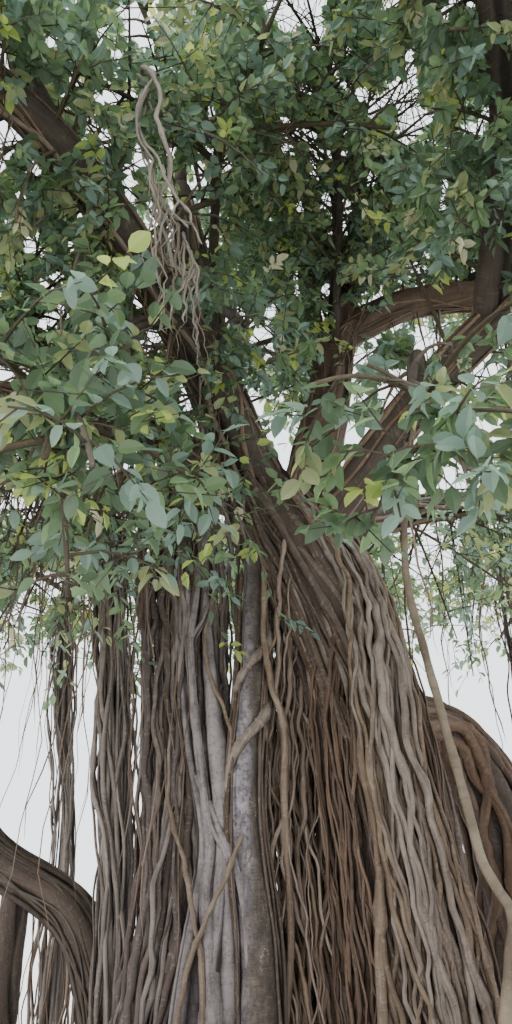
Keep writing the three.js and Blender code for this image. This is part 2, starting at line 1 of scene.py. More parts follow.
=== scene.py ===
"""The looks of a banyan tree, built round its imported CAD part.

The trunk and boughs are surfaces with the relief of fused bark, the aerial roots are swept strands, and
each mass of foliage grows from its bough by the part's own rule, carried on to finer twigs and leaves.
Metres, +Z up, the origin in the middle of the trunk's cut at ground level, and -Y the front.
"""

import itertools
import json
import math

import bpy
import numpy as np
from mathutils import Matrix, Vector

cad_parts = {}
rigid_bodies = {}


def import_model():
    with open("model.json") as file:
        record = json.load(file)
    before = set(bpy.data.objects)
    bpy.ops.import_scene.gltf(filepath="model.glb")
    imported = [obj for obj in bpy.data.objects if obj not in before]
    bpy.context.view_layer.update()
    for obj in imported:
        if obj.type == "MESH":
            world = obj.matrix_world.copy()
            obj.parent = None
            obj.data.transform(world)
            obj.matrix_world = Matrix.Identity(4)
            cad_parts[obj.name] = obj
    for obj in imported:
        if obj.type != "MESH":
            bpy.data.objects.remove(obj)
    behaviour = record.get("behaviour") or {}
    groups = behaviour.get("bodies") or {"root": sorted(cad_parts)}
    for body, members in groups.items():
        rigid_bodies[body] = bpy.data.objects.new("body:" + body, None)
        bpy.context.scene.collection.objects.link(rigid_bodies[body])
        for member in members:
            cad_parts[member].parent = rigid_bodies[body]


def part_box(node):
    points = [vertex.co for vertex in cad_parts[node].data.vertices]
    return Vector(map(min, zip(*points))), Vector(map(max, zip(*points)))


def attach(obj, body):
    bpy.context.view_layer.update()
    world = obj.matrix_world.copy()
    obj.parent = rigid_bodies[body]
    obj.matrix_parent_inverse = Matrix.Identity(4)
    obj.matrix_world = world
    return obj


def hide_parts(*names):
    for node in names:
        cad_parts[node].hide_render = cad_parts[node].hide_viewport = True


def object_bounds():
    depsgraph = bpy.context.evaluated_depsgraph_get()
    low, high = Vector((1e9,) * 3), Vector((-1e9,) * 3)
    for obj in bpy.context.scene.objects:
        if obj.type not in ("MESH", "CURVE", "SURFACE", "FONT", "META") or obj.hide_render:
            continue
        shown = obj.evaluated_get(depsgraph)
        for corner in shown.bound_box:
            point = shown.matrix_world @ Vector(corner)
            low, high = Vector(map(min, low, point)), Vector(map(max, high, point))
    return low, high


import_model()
CAD_BOX = [list(corner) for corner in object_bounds()]

BODY = "root"
GOLDEN_ANGLE = math.pi * (3 - math.sqrt(5))
GOLDEN_SHARE = 0.618034
TO_THE_FRONT = np.array([0, -1.0, 0])
BELOW_GROUND = -0.2  # where the part's source starts its feet; they are cut flat at the ground
WRINKLES = (0.11, 0.045)  # the two sizes of wrinkles in bark, in metres


# Numbers, paths and smooth chance


def chance(seed, k):
    """A number from 0 to 1 that depends only on its two seeds, by the formula of the part's source."""
    wave = np.sin(np.asarray(seed) * 12.9898 + np.asarray(k) * 78.233) * 43758.5453
    return wave - np.floor(wave)


def between(low, high, share):
    return low + (high - low) * share


def mix_of(values, t):
    """A value read off a list that is spread evenly over t from 0 to 1."""
    return np.interp(t, np.linspace(0, 1, len(values)), values)


def ramp(low, high, value):
    """0 below low, 1 above high and an eased rise between them."""
    share = np.clip((value - low) / (high - low), 0, 1)
    return share * share * (3 - 2 * share)


def unit(vectors):
    return vectors / np.maximum(np.linalg.norm(vectors, axis=-1, keepdims=True), 1e-9)


def square_to(way, axis):
    """Two directions square to way and to each other: what is left of an axis once its share along way is
    taken off, and the one square to both."""
    across = unit(axis - (axis * way).sum(-1, keepdims=True) * way)
    return across, np.cross(way, across)


def side_and_top(way, nearly_up):
    """A level direction square to way, and the direction square to both that points upwards."""
    across = unit(np.cross(way, nearly_up))
    return across, np.cross(across, way)


def angles_round(sides):
    return 2 * np.pi * np.arange(sides) / sides


def path_at(points, t):
    """A smooth path through points: between two of them, the cubic whose slope at each is half the step
    between its neighbours."""
    points = np.asarray(points, float)
    padded = np.vstack([2 * points[0] - points[1], points, 2 * points[-1] - points[-2]])
    place = np.clip(t, 0, 1) * (len(points) - 1)
    low = np.minimum(np.floor(place).astype(int), len(points) - 2)
    w = (place - low)[..., None]
    before, start, end, after = (padded[low + k] for k in range(4))
    slope_in, slope_out = (end - before) / 2, (after - start) / 2
    return (
        (2 * w**3 - 3 * w**2 + 1) * start
        + (w**3 - 2 * w**2 + w) * slope_in
        + (3 * w**2 - 2 * w**3) * end
        + (w**3 - w**2) * slope_out
    )


def span_above_ground(points):
    """The shares of a path where it starts and ends, counting only what lies above the ground."""
    fine = np.linspace(0, 1, 4001)
    over = fine[path_at(points, fine)[:, 2] >= 0]
    return over[0], over[-1]


def wander(seed, t, paces=(1.1, 2.3, 4.7)):
    """A smooth swing between about -1 and 1 along t: sines of rising pace and falling height, with phases
    of chance."""
    seed = np.asarray(seed, float)[..., None]
    total = 0
    for i, pace in enumerate(paces):
        own_pace = pace * (0.8 + 0.4 * chance(seed, 60 + i))
        total = total + np.sin(2 * np.pi * (own_pace * t + chance(seed, 50 + i))) / (i + 1)
    return total / 1.5


def noise(places, size, seed=0):
    """Smooth noise of -1 to 1: the corners of cells of that size hold numbers of chance, mixed with eased
    weights."""
    cell = places / size
    low = np.floor(cell)
    share = cell - low
    share = share * share * (3 - 2 * share)
    total = 0
    for corner in itertools.product((0, 1), repeat=3):
        weight = np.prod(np.where(corner, share, 1 - share), axis=-1)
        wave = np.sin((low + corner) @ (127.1, 311.7, 74.7) + seed * 53.3) * 43758.5453
        total = total + weight * (2 * (wave - np.floor(wave)) - 1)
    return total


# Surfaces: rings along paths, and the skins over them


class Skin:
    """Places, faces with their corners on the bark's map, and two marks of each place: its tone and how
    much painted shade it gets where it lies far in between roots."""

    def __init__(self, places, faces, corners, tone, depth):
        self.places = places
        self.faces = faces
        self.corners = corners
        self.tone = tone
        self.depth = depth


def joined(skins):
    """One skin of several."""
    starts = np.cumsum([0] + [len(skin.places) for skin in skins])
    return Skin(
        np.concatenate([skin.places for skin in skins]),
        [face + start for skin, start in zip(skins, starts) for face in skin.faces],
        [corner for skin in skins for corner in skin.corners],
        np.concatenate([skin.tone for skin in skins]),
        np.concatenate([skin.depth for skin in skins]),
    )


def rings(centres, radii, sides, level_ends=(False, False)):
    """Rings about paths. At each centre the points are across * r cos(a) + up * r sin(a), where across is a
    fixed axis made square to the path's direction, and up is square to both. A level end lies flat on the
    ground."""
    way = unit(np.gradient(centres, axis=-2))
    for end, level in zip((0, -1), level_ends):
        if level:
            way[..., end, :] = [0, 0, 1] * np.sign(way[..., end, 2:])
    overall = unit(centres[..., -1, :] - centres[..., 0, :])
    axis = np.where(np.abs(overall[..., :1]) > 0.8, [0.0, 1.0, 0.0], [1.0, 0.0, 0.0])[..., None, :]
    across, up = square_to(way, axis)
    angle = angles_round(sides)
    if np.ndim(radii) < np.ndim(centres):
        radii = np.asarray(radii)[..., None]
    sideways = np.cos(angle)[:, None] * across[..., None, :] + np.sin(angle)[:, None] * up[..., None, :]
    return centres[..., None, :] + radii[..., None] * sideways


def skin_over(points, tone=0.5, depth=0.0):
    """The closed skin over rings (limb, ring, side): four-cornered faces from ring to ring and a flat face
    at each end. On its map u runs round the limb and v is the length along it, in metres."""
    limbs, count, sides = points.shape[:3]
    middles = points.mean(axis=2)
    steps = np.linalg.norm(np.diff(middles, axis=1), axis=-1)
    along = np.concatenate([np.zeros((limbs, 1)), np.cumsum(steps, axis=1)], axis=1)
    first = np.arange(limbs)[:, None, None] * count * sides + np.arange(count - 1)[:, None] * sides
    k = np.arange(sides)
    a, b = first + k, first + (k + 1) % sides
    quads = np.stack([a, b, b + sides, a + sides], axis=-1).reshape(-1, 4)
    low = np.broadcast_to(along[:, :-1, None], a.shape)
    high = np.broadcast_to(along[:, 1:, None], a.shape)
    left = np.broadcast_to(k / sides, a.shape)
    right = left + 1 / sides
    around = np.stack([left, right, right, left], axis=-1)
    lengthwise = np.stack([low, low, high, high], axis=-1)
    quad_corners = np.stack([around, lengthwise], axis=-1).reshape(-1, 4, 2)
    start = np.arange(limbs)[:, None] * count * sides
    caps = np.concatenate([start + k[::-1], start + (count - 1) * sides + k])
    ends = np.concatenate([along[:, 0], along[:, -1]])
    cap_corners = np.stack(
        [np.broadcast_to(k / sides, caps.shape), np.broadcast_to(ends[:, None], caps.shape)], axis=-1
    )
    shape = points.shape[:3]
    points = np.maximum(points, [-np.inf, -np.inf, 0])
    return Skin(
        points.reshape(-1, 3),
        [quads, caps],
        [quad_corners, cap_corners],
        np.broadcast_to(tone, shape).ravel().astype(float),
        np.broadcast_to(depth, shape).ravel().astype(float),
    )


def strands(
    centres, radii, seeds, sides=6, outward=None, tone=None, level=True, depth=0.0, closing=(0.35, 1.0)
):
    """Bare roots as slim tubes with slight knots. The side that faces away from outward, towards the roots
    behind, gets painted shade, on top of the painted shade given for the whole root. Each tapers at its
    ends to the shares given by closing."""
    seeds = np.asarray(seeds, float)
    limbs, count = radii.shape
    t = np.linspace(0, 1, count)
    knots = ramp(0.55, 1.05, wander(seeds + 0.61, t, (6, 13, 21)))
    knotted = radii * (1 + 0.12 * wander(seeds + 0.37, t, (4, 9, 17)) + 0.4 * knots)
    tips = np.ones(count)
    tips[0], tips[-1] = closing
    points = rings(centres, knotted * tips, sides, (False, level))
    if tone is None:
        tone = chance(seeds, 91)
    tone = np.broadcast_to(np.asarray(tone)[..., None, None], (limbs, count, 1))
    painted_dark = np.broadcast_to(np.asarray(depth, float), (limbs, count))[..., None]
    if outward is not None:
        faces_out = (unit(points - centres[..., None, :]) * unit(outward)[..., None, :]).sum(-1)
        # painted shade on the side of each root that faces the roots behind
        painted_dark = painted_dark + 0.85 * ramp(0.5, -0.6, faces_out)
    return skin_over(points, tone, painted_dark)


def parting(j, t, size, spread):
    """How far each root has moved aside where roots run together in groups of that size and part further
    down, at a share of chance."""
    group, member = np.floor(j / size), j % size
    where = between(0.05, 0.7, chance(group, 21))[:, None]
    return (member - (size - 1) / 2)[:, None] * spread * ramp(where, where + 0.28, t)


def ridges(t, angle, count, seed, width):
    """Fused roots on a limb's surface, from 0 in the creases to 1 on the crests: each is a half round of
    that width in radians about an angle that wanders along the limb, and the highest one counts."""
    j = np.arange(count)
    middle = 2 * np.pi * (j[:, None] / count) + 0.55 * wander(j + seed, t, (0.6, 1.3, 2.9))
    apart = np.abs((angle[None, None, :] - middle[..., None] + np.pi) % (2 * np.pi) - np.pi)
    own_width = width * between(0.7, 1.35, chance(j, seed))[:, None, None]
    half_rounds = np.sqrt(np.clip(1 - (apart / own_width) ** 2, 0, 1))
    return (half_rounds * between(0.6, 1, chance(j, seed + 5))[:, None, None]).max(axis=0)


def fluted_limb(
    points, radii, sides, steps, seed, lobes=0, lobe_depth=0.0, turn=0.0, roots=9, relief=0.1, tone=0.45,
    grain=0.03,
):
    """A limb whose radius at share t and angle a is mix(radii, t) * (1 + lobe_depth cos(lobes a + turn t)),
    plus ridges of fused roots and two sizes of noise. relief and grain are shares of the radius."""
    low, high = span_above_ground(points)
    t = np.linspace(low, high, steps)
    centres = path_at(points, t)
    level_ends = (low > 0, high < 1)
    centres[[0, -1], 2] = np.where(level_ends, 0, centres[[0, -1], 2])
    angle = angles_round(sides)
    radius = mix_of(radii, t)[:, None]
    base = radius * (1 + lobe_depth * np.cos(lobes * angle + turn * t[:, None]))
    crest = ridges(t, angle, roots, seed, 3.6 / roots)
    rough = rings(centres, base, sides, level_ends)
    wrinkle = noise(rough, WRINKLES[0], seed) + 0.6 * noise(rough, WRINKLES[1], seed + 1)
    radii_here = base + radius * (relief * (crest - 0.6) + grain * wrinkle)
    closing = np.ones(steps)
    if not level_ends[0]:
        closing[:3] = (0.3, 0.75, 0.95)
    if not level_ends[1]:
        closing[-3:] = (0.95, 0.75, 0.3)
    skin = rings(centres, radii_here * closing[:, None], sides, level_ends)
    # painted shade in the creases between the fused roots, a little uneven with the wrinkles
    painted_dark = 0.95 * ramp(0.75, 0.15, crest) + 0.12 * wrinkle
    return skin_over(skin[None], tone, painted_dark[None])


def mesh_of(name, skin, smooth=True):
    """The Blender mesh of a skin, with its map and its two marks."""
    mesh = bpy.data.meshes.new(name)
    loops = np.concatenate([face.ravel() for face in skin.faces])
    sizes = np.concatenate([np.full(len(face), face.shape[1]) for face in skin.faces])
    mesh.vertices.add(len(skin.places))
    mesh.vertices.foreach_set("co", skin.places.astype(np.float32).ravel())
    mesh.loops.add(len(loops))
    mesh.loops.foreach_set("vertex_index", loops.astype(np.int32))
    mesh.polygons.add(len(sizes))
    mesh.polygons.foreach_set("loop_start", np.concatenate([[0], np.cumsum(sizes)[:-1]]).astype(np.int32))
    mesh.polygons.foreach_set("use_smooth", np.full(len(sizes), smooth))
    corners = np.concatenate([corner.reshape(-1, 2) for corner in skin.corners])
    layer = mesh.uv_layers.new(name="surface")
    layer.data.foreach_set("uv", corners.astype(np.float32).ravel())
    for mark in ("tone", "depth"):
        values = mesh.attributes.new(mark, "FLOAT", "POINT")
        values.data.foreach_set("value", getattr(skin, mark).astype(np.float32))
    mesh.update(calc_edges=True)
    return mesh


def add_piece(name, skin, material, nodes=(), smooth=True):
    """A new piece of the tree: it rides on the one body and stands for the CAD nodes named."""
    piece = bpy.data.objects.new(name, mesh_of(name, skin, smooth))
    piece.data.materials.append(material)
    bpy.context.scene.collection.objects.link(piece)
    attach(piece, BODY)
    if nodes:
        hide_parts(*nodes)
    return piece


# Materials


class Value:
    """A number socket of a material; an expression on it adds the Math nodes it needs."""

    def __init__(self, finish, socket):
        self.finish = finish
        self.socket = socket

    def math(self, operation, *others, clamp=False):
        sockets = {0: self, **{i + 1: other for i, other in enumerate(others)}}
        node = self.finish.node("ShaderNodeMath", {"operation": operation, "use_clamp": clamp}, sockets)
        return Value(self.finish, node.outputs[0])

    def flipped(self, operation, other):
        node = self.finish.node("ShaderNodeMath", {"operation": operation}, {0: other, 1: self})
        return Value(self.finish, node.outputs[0])

    def __add__(self, other):
        return self.math("ADD", other)

    def __sub__(self, other):
        return self.math("SUBTRACT", other)

    def __mul__(self, other):
        return self.math("MULTIPLY", other)

    def __radd__(self, other):
        return self.flipped("ADD", other)

    def __rsub__(self, other):
        return self.flipped("SUBTRACT", other)

    def __rmul__(self, other):
        return self.flipped("MULTIPLY", other)

    def clamped(self):
        return self.math("ADD", 0.0, clamp=True)

    def eased(self, low, high):
        """0 at low, 1 at high, with an eased rise between them."""
        sockets = {"Value": self, "From Min": low, "From Max": high}
        node = self.finish.node("ShaderNodeMapRange", {"interpolation_type": "SMOOTHSTEP"}, sockets)
        return Value(self.finish, node.outputs[0])


class Finish:
    """A material being put together: its Principled shader and the one method that adds every other
    node."""

    def __init__(self, name, **constants):
        self.material = bpy.data.materials.new(name)
        self.material.use_nodes = True
        self.tree = self.material.node_tree
        self.shader = self.tree.nodes["Principled BSDF"]
        for socket, value in constants.items():
            self.shader.inputs[socket.replace("_", " ")].default_value = value
        self.objects = self.node("ShaderNodeTexCoord").outputs["Object"]

    def node(self, kind, settings=None, sockets=None):
        """A node of that type. Its settings are set first, then its sockets."""
        node = self.tree.nodes.new(kind)
        for setting, value in (settings or {}).items():
            setattr(node, setting, value)
        for socket, value in (sockets or {}).items():
            self.feed(node.inputs[socket], value)
        return node

    def feed(self, socket, value):
        if isinstance(value, Value):
            value = value.socket
        if isinstance(value, bpy.types.NodeSocket):
            self.tree.links.new(value, socket)
        else:
            socket.default_value = value

    def mark(self, name):
        """One of the marks that the mesh holds for each place."""
        node = self.node("ShaderNodeAttribute", {"attribute_name": name})
        return Value(self, node.outputs["Fac"])

    def surface(self):
        """The surface map: u round the limb or across the leaf, v along it."""
        node = self.node("ShaderNodeUVMap", {"uv_map": "surface"})
        parts = self.node("ShaderNodeSeparateXYZ", None, {0: node.outputs[0]})
        return Value(self, parts.outputs["X"]), Value(self, parts.outputs["Y"])

    def place(self):
        """The three numbers of a place on the piece."""
        parts = self.node("ShaderNodeSeparateXYZ", None, {0: self.objects})
        return [Value(self, parts.outputs[axis]) for axis in "XYZ"]

    def stretched(self, x, y, z):
        """The place on the piece with each direction scaled."""
        return self.node(
            "ShaderNodeVectorMath", {"operation": "MULTIPLY"}, {0: self.objects, 1: (x, y, z)}
        ).outputs[0]

    def vector(self, x, y, z):
        return self.node("ShaderNodeCombineXYZ", None, {"X": x, "Y": y, "Z": z}).outputs[0]

    def noise(self, scale, detail=3.0, roughness=0.55, where=None):
        place = self.objects if where is None else where
        sockets = {"Vector": place, "Scale": scale, "Detail": detail, "Roughness": roughness}
        return Value(self, self.node("ShaderNodeTexNoise", None, sockets).outputs["Fac"])

    def mix(self, share, first, second, blend="MIX"):
        """A colour between two: the first where share is 0, and the second where it is 1."""
        node = self.node(
            "ShaderNodeMix", {"data_type": "RGBA", "blend_type": blend, "clamp_factor": True}, {0: share}
        )
        for socket, colour in ((node.inputs[6], first), (node.inputs[7], second)):
            self.feed(socket, (*colour, 1.0) if isinstance(colour, tuple) else colour)
        return node.outputs[2]

    def finished(self, colour, roughness, height, bump_strength, bump_distance):
        self.feed(self.shader.inputs["Base Color"], colour)
        self.feed(self.shader.inputs["Roughness"], roughness)
        bump = self.node(
            "ShaderNodeBump", None, {"Strength": bump_strength, "Distance": bump_distance, "Height": height}
        )
        self.feed(self.shader.inputs["Normal"], bump.outputs[0])
        return self.material


OCHRE_DUST = (1.16, 1.04, 0.8)  # what dust on a root does to its colour
GROUND_DARK_HEIGHTS = (2.8, 0.5)  # metres up, where bark starts to get darker towards the ground and where it is darkest


def root_finish(
    name, dark, middle, pale, fissures=9, rings_strength=0.35, mottling=0.5, flecks=0.0, dust=0.6
):
    """The skin of aerial roots and old bark. Low fissures run with the grain, so many round the limb, with
    painted shade in them, short lenticels cross it, the creases between roots get painted shade, the bark
    is darker towards the ground, and patches of paler skin and ochre dust differ from root to root. Some
    have small dark spots and pale flecks too."""
    finish = Finish(name, Specular_IOR_Level=0.3)
    tone, depth = finish.mark("tone"), finish.mark("depth")
    around, along = finish.surface()
    broad = finish.noise(1.6, 4)
    patches = finish.noise(9, 5, 0.6)
    fine = finish.noise(70, 4, 0.6)
    grain = finish.noise(1, 4, 0.6, finish.vector(around * fissures, along * 6, tone * 40))
    wavy = along * 46 + finish.noise(5, 2) * 9 + tone * 31
    lenticels = finish.noise(1, 2, 0.5, finish.vector(around * (0.25 * fissures), wavy, tone * 17))
    bands = lenticels.eased(0.53, 0.68)
    lightness = tone * 0.55 + broad * 0.35 + patches * mottling - 0.25 * mottling - 0.08
    colour = finish.mix(lightness.eased(0.05, 0.55), dark, middle)
    colour = finish.mix(lightness.eased(0.45, 0.95), colour, pale)
    colour = finish.mix(bands * rings_strength, colour, pale)
    # painted shade in the low fissures
    colour = finish.mix(grain.eased(0.56, 0.36) * 0.45, colour, dark)
    dusty = (tone * 11 + broad * 2).math("SINE").eased(-0.4, 1.0)
    colour = finish.mix(dusty * dust, colour, OCHRE_DUST, "MULTIPLY")
    if flecks:
        colour = finish.mix(finish.noise(42, 4, 0.65).eased(0.5, 0.68) * (0.6 * flecks), colour, dark)
        colour = finish.mix(finish.noise(120, 2).eased(0.56, 0.68) * flecks, colour, pale)
    # darker towards the ground
    colour = finish.mix(finish.place()[2].eased(*GROUND_DARK_HEIGHTS) * 0.38, colour, dark)
    # painted shade in the creases between roots and on their far sides, by the shade mark
    crease_shade = tuple(0.32 * part for part in dark)
    colour = finish.mix(depth.eased(0.15, 1.05) * 0.9, colour, crease_shade)
    roughness = 0.72 + 0.2 * fine - 0.12 * tone
    height = grain * 0.8 + bands * 0.45 + fine * 0.35 + patches * 0.6
    return finish.finished(colour, roughness, height, 0.9, 0.008)


def pillar_finish():
    """Smooth pale bark with painted light and shade: grey with a lilac cast on the left as its painted lit
    side, and brown on the right as its painted shaded side, darker towards the foot, with fine level rings
    and peeled flakes."""
    shaded_side_edge = -1.045  # where across the pillar the painted shaded side begins, in metres
    finish = Finish("pale_bark", Specular_IOR_Level=0.3)
    x, _, z = finish.place()
    depth = finish.mark("depth")
    broad = finish.noise(2.4, 4)
    fine = finish.noise(85, 4, 0.6)
    flakes = finish.noise(1, 5, 0.65, finish.stretched(15, 15, 6))
    level = finish.noise(1, 2, 0.5, finish.stretched(7, 7, 95))
    lines = level.eased(0.5, 0.66)
    # painted light and shade: the left side painted pale as lit, the right side brown as shaded
    painted_shaded_side = (x - shaded_side_edge + (broad - 0.5) * 0.2 + (flakes - 0.5) * 0.14).eased(-0.035, 0.045)
    pale = finish.mix(flakes.eased(0.35, 0.7), (0.15, 0.133, 0.145), (0.33, 0.303, 0.33))
    # darker towards the foot
    foot_dark = finish.mix(flakes.eased(0.35, 0.7), (0.05, 0.038, 0.036), (0.13, 0.11, 0.108))
    pale = finish.mix((z + (broad - 0.5) * 1.5).eased(2.2, 1.4) * 0.75, pale, foot_dark)
    # the colours of the painted shaded side
    brown = finish.mix(flakes.eased(0.3, 0.7), (0.036, 0.027, 0.021), (0.095, 0.075, 0.059))
    colour = finish.mix(painted_shaded_side, pale, brown)
    colour = finish.mix(lines * 0.18, colour, (0.13, 0.11, 0.1))
    spots = finish.noise(1, 4, 0.65, finish.stretched(46, 46, 28)).eased(0.52, 0.62)
    colour = finish.mix(spots * 0.6, colour, (0.06, 0.047, 0.043))
    colour = finish.mix((fine * flakes).eased(0.34, 0.46) * 0.5, colour, (0.5, 0.48, 0.48))
    # painted shade where the piece's shade mark says so
    colour = finish.mix(depth.eased(0.2, 1.1) * 0.85, colour, (0.03, 0.022, 0.018))
    height = flakes * 0.8 + lines * 0.5 + fine * 0.4 - spots * 0.5
    return finish.finished(colour, 0.62 + 0.2 * fine, height, 0.9, 0.008)


def tan_finish():
    """The bare root in front: dull tan, smooth between faint rings, browner here and there."""
    finish = Finish("tan_bark", Specular_IOR_Level=0.35)
    around, along = finish.surface()
    broad = finish.noise(3.5, 3)
    fine = finish.noise(60, 4, 0.6)
    steps = along * 30 + finish.noise(3, 2) * 4
    rings_here = finish.noise(1, 2, 0.5, finish.vector(around * 1.2, steps, 3.0))
    lines = rings_here.eased(0.48, 0.7)
    colour = finish.mix(broad.eased(0.3, 0.7), (0.085, 0.062, 0.042), (0.18, 0.142, 0.1))
    colour = finish.mix(lines * 0.35, colour, (0.06, 0.045, 0.03))
    colour = finish.mix(fine.eased(0.55, 0.75) * 0.35, colour, (0.3, 0.27, 0.2))
    return finish.finished(colour, 0.6 + 0.2 * fine, lines * 0.5 + fine * 0.4, 0.6, 0.005)


LEAF_THINNESS = 0.5  # the share of the light on a leaf that shows on its other side
THROUGH_LEAF = (3.7, 3.7, 2.9)  # a leaf's colour times these is that of the light it lets through


def leaf_finish(name, colour, vein, roughness):
    """A leaf: its own plain green with a slightly different green from place to place, a raised midrib, and
    side veins that leave it at a slant."""
    finish = Finish(name, Specular_IOR_Level=0.55)
    across, along = finish.surface()
    off_midrib = (across - 0.5).math("ABSOLUTE") * 2
    midrib = off_midrib.eased(0.09, 0.0)
    slant = (along * 9 - off_midrib * 3.2).math("FRACT")
    side_veins = (slant - 0.5).math("ABSOLUTE").eased(0.1, 0.0)
    veins = (midrib + side_veins * 0.5).clamped()
    shade = finish.noise(2.2, 2)
    deeper = tuple(0.72 * part for part in colour)
    mixed = finish.mix(shade.eased(0.3, 0.7), deeper, colour)
    mixed = finish.mix(veins * 0.4, mixed, vein)
    finish.finished(mixed, roughness + 0.12 * shade, veins, 0.35, 0.0012)
    through = tuple(min(1.0, part * gain) for part, gain in zip(colour, THROUGH_LEAF))
    glow = finish.node("ShaderNodeBsdfTranslucent", None, {"Color": (*through, 1.0)})
    both = finish.node(
        "ShaderNodeMixShader", None, {0: LEAF_THINNESS, 1: finish.shader.outputs[0], 2: glow.outputs[0]}
    )
    finish.feed(finish.tree.nodes["Material Output"].inputs["Surface"], both.outputs[0])
    return finish.material


def floor_finish():
    finish = Finish("pale_floor", Specular_IOR_Level=0.2)
    speckle = finish.noise(3, 4)
    colour = finish.mix(speckle, (0.72, 0.71, 0.69), (0.76, 0.75, 0.73))
    return finish.finished(colour, 0.9 + 0.05 * speckle, speckle, 0.05, 0.002)


BARK = root_finish("bark", (0.03, 0.02, 0.015), (0.068, 0.049, 0.038), (0.14, 0.112, 0.093), 70)
BOUGH_BARK = root_finish("bough_bark", (0.03, 0.021, 0.016), (0.068, 0.052, 0.042), (0.14, 0.118, 0.1), 30)
ROOT_BARK = root_finish(
    "root_bark", (0.04, 0.027, 0.021), (0.097, 0.072, 0.058), (0.27, 0.224, 0.188), dust=0.8
)
STEM_BARK = root_finish(
    "stem_bark", (0.042, 0.03, 0.026), (0.101, 0.085, 0.084), (0.218, 0.194, 0.196),
    fissures=18, rings_strength=0.25, mottling=1.5, flecks=0.7, dust=0.1,
)
COLUMN_BARK = root_finish(
    "column_bark", (0.04, 0.028, 0.024), (0.095, 0.074, 0.066), (0.25, 0.213, 0.195), dust=0.3
)
CURTAIN_BARK = root_finish("curtain_bark", (0.075, 0.048, 0.035), (0.16, 0.116, 0.088), (0.3, 0.235, 0.19))
RED_BARK = root_finish("red_bark", (0.05, 0.03, 0.021), (0.12, 0.076, 0.055), (0.21, 0.15, 0.115), 30)
TANGLE_BARK = root_finish("tangle_bark", (0.11, 0.093, 0.078), (0.22, 0.19, 0.16), (0.36, 0.32, 0.275))
ROPE_BARK = root_finish(
    "rope_bark", (0.07, 0.053, 0.045), (0.165, 0.137, 0.121), (0.34, 0.3, 0.272), dust=0.2
)
DARK_ROOT_BARK = root_finish(
    "dark_root_bark", (0.042, 0.026, 0.018), (0.095, 0.063, 0.047), (0.185, 0.132, 0.103)
)
TWIG_BARK = root_finish("twig_bark", (0.04, 0.032, 0.022), (0.085, 0.07, 0.05), (0.17, 0.145, 0.115))
PALE_BARK = pillar_finish()
TAN_BARK = tan_finish()

# Trunk, pillar and the other limbs, with the sizes of the part's source

TRUNK = {
    "points": [
        (0.02, 0, BELOW_GROUND), (-0.04, 0, 0.5), (-0.13, 0, 1.3), (-0.2, 0, 2.2), (-0.42, 0.02, 3.1),
        (-0.8, 0.06, 4.0), (-1.08, 0.1, 4.55),
    ],
    "radii": [0.6, 0.42, 0.35, 0.34, 0.34, 0.33, 0.2],
}
DRAPE = {
    "points": [
        (-0.5, 0.05, 4.25), (-0.44, 0.03, 3.6), (-0.3, 0, 2.8), (-0.16, 0, 1.6), (-0.06, 0, 0.7),
        (0, 0, BELOW_GROUND),
    ],
    "round": [0.16, 0.26, 0.41, 0.44, 0.5, 0.72],
}
PILLAR = {
    "points": [
        (-0.97, -0.15, BELOW_GROUND), (-0.97, -0.15, 0.6), (-0.99, -0.15, 1.35), (-1.06, -0.15, 2.1),
        (-1.02, -0.12, 2.95), (-1.0, -0.06, 3.9), (-0.98, -0.02, 4.2),
    ],
    "radii": [0.19, 0.125, 0.105, 0.092, 0.085, 0.08, 0.08],
}
# Roots that cross the pillar: degrees to the right of its front, and heights; then their radius
WINDINGS = [
    (
        [
            (115, 3.26), (80, 3.15), (42, 3.06), (0, 2.98), (-40, 2.89), (-70, 2.78), (-88, 2.64),
            (-100, 2.45),
        ],
        0.031,
    ),
    (
        [
            (120, 2.8), (90, 2.71), (50, 2.62), (8, 2.53), (-35, 2.43), (-68, 2.3), (-88, 2.1),
            (-100, 1.85), (-108, 1.6),
        ],
        0.033,
    ),
]
COLUMN = {
    "points": [
        (-1.45, 0.02, BELOW_GROUND), (-1.42, 0, 0.7), (-1.38, -0.02, 1.6), (-1.4, -0.02, 2.6),
        (-1.45, -0.05, 3.6), (-1.5, -0.1, 4.5),
    ],
    "half_width": [0.42, 0.3, 0.25, 0.25, 0.24, 0.13],
}
RIGHT_TRUNK = {
    "points": [
        (-0.2, 0.15, 2.55), (0.2, 0.5, 2.72), (0.55, 0.75, 2.5), (0.75, 0.88, 1.9), (0.82, 0.92, 1.1),
        (0.86, 0.95, BELOW_GROUND),
    ],
    "radii": [0.13, 0.15, 0.19, 0.24, 0.28, 0.42],
}
PROP = {
    "points": [
        (-3.35, -0.55, 4.92), (-3.62, -0.1, 4.1), (-3.45, 0.25, 2.9), (-2.8, 0.48, 1.95),
        (-2.15, 0.56, 1.5), (-1.9, 0.6, 0.75), (-1.88, 0.62, BELOW_GROUND),
    ],
    "radii": [0.055, 0.085, 0.11, 0.125, 0.13, 0.14, 0.2],
}
PROP_FOOT = {
    "points": [(-2.55, 0.52, 1.74), (-2.55, 0.54, 0.9), (-2.52, 0.56, BELOW_GROUND)],
    "radii": [0.085, 0.09, 0.15],
}
SINUOUS = {
    "points": [
        (0.05, -0.84, 4.52), (-0.05, -0.68, 3.9), (-0.07, -0.58, 3.4), (0.0, -0.55, 2.95),
        (0.07, -0.57, 2.5), (0.13, -0.6, 2.1), (0.18, -0.62, 1.78), (0.28, -0.65, 1.55), (0.21, -0.71, 1.3),
        (0.12, -0.78, 0.8), (0.24, -0.84, BELOW_GROUND),
    ],
    "radii": [0.022, 0.025, 0.027, 0.029, 0.03, 0.031, 0.032, 0.034, 0.034, 0.04, 0.055],
}
SINUOUS_SHARE = 0.82  # how thick the winding root in front is, over its solid
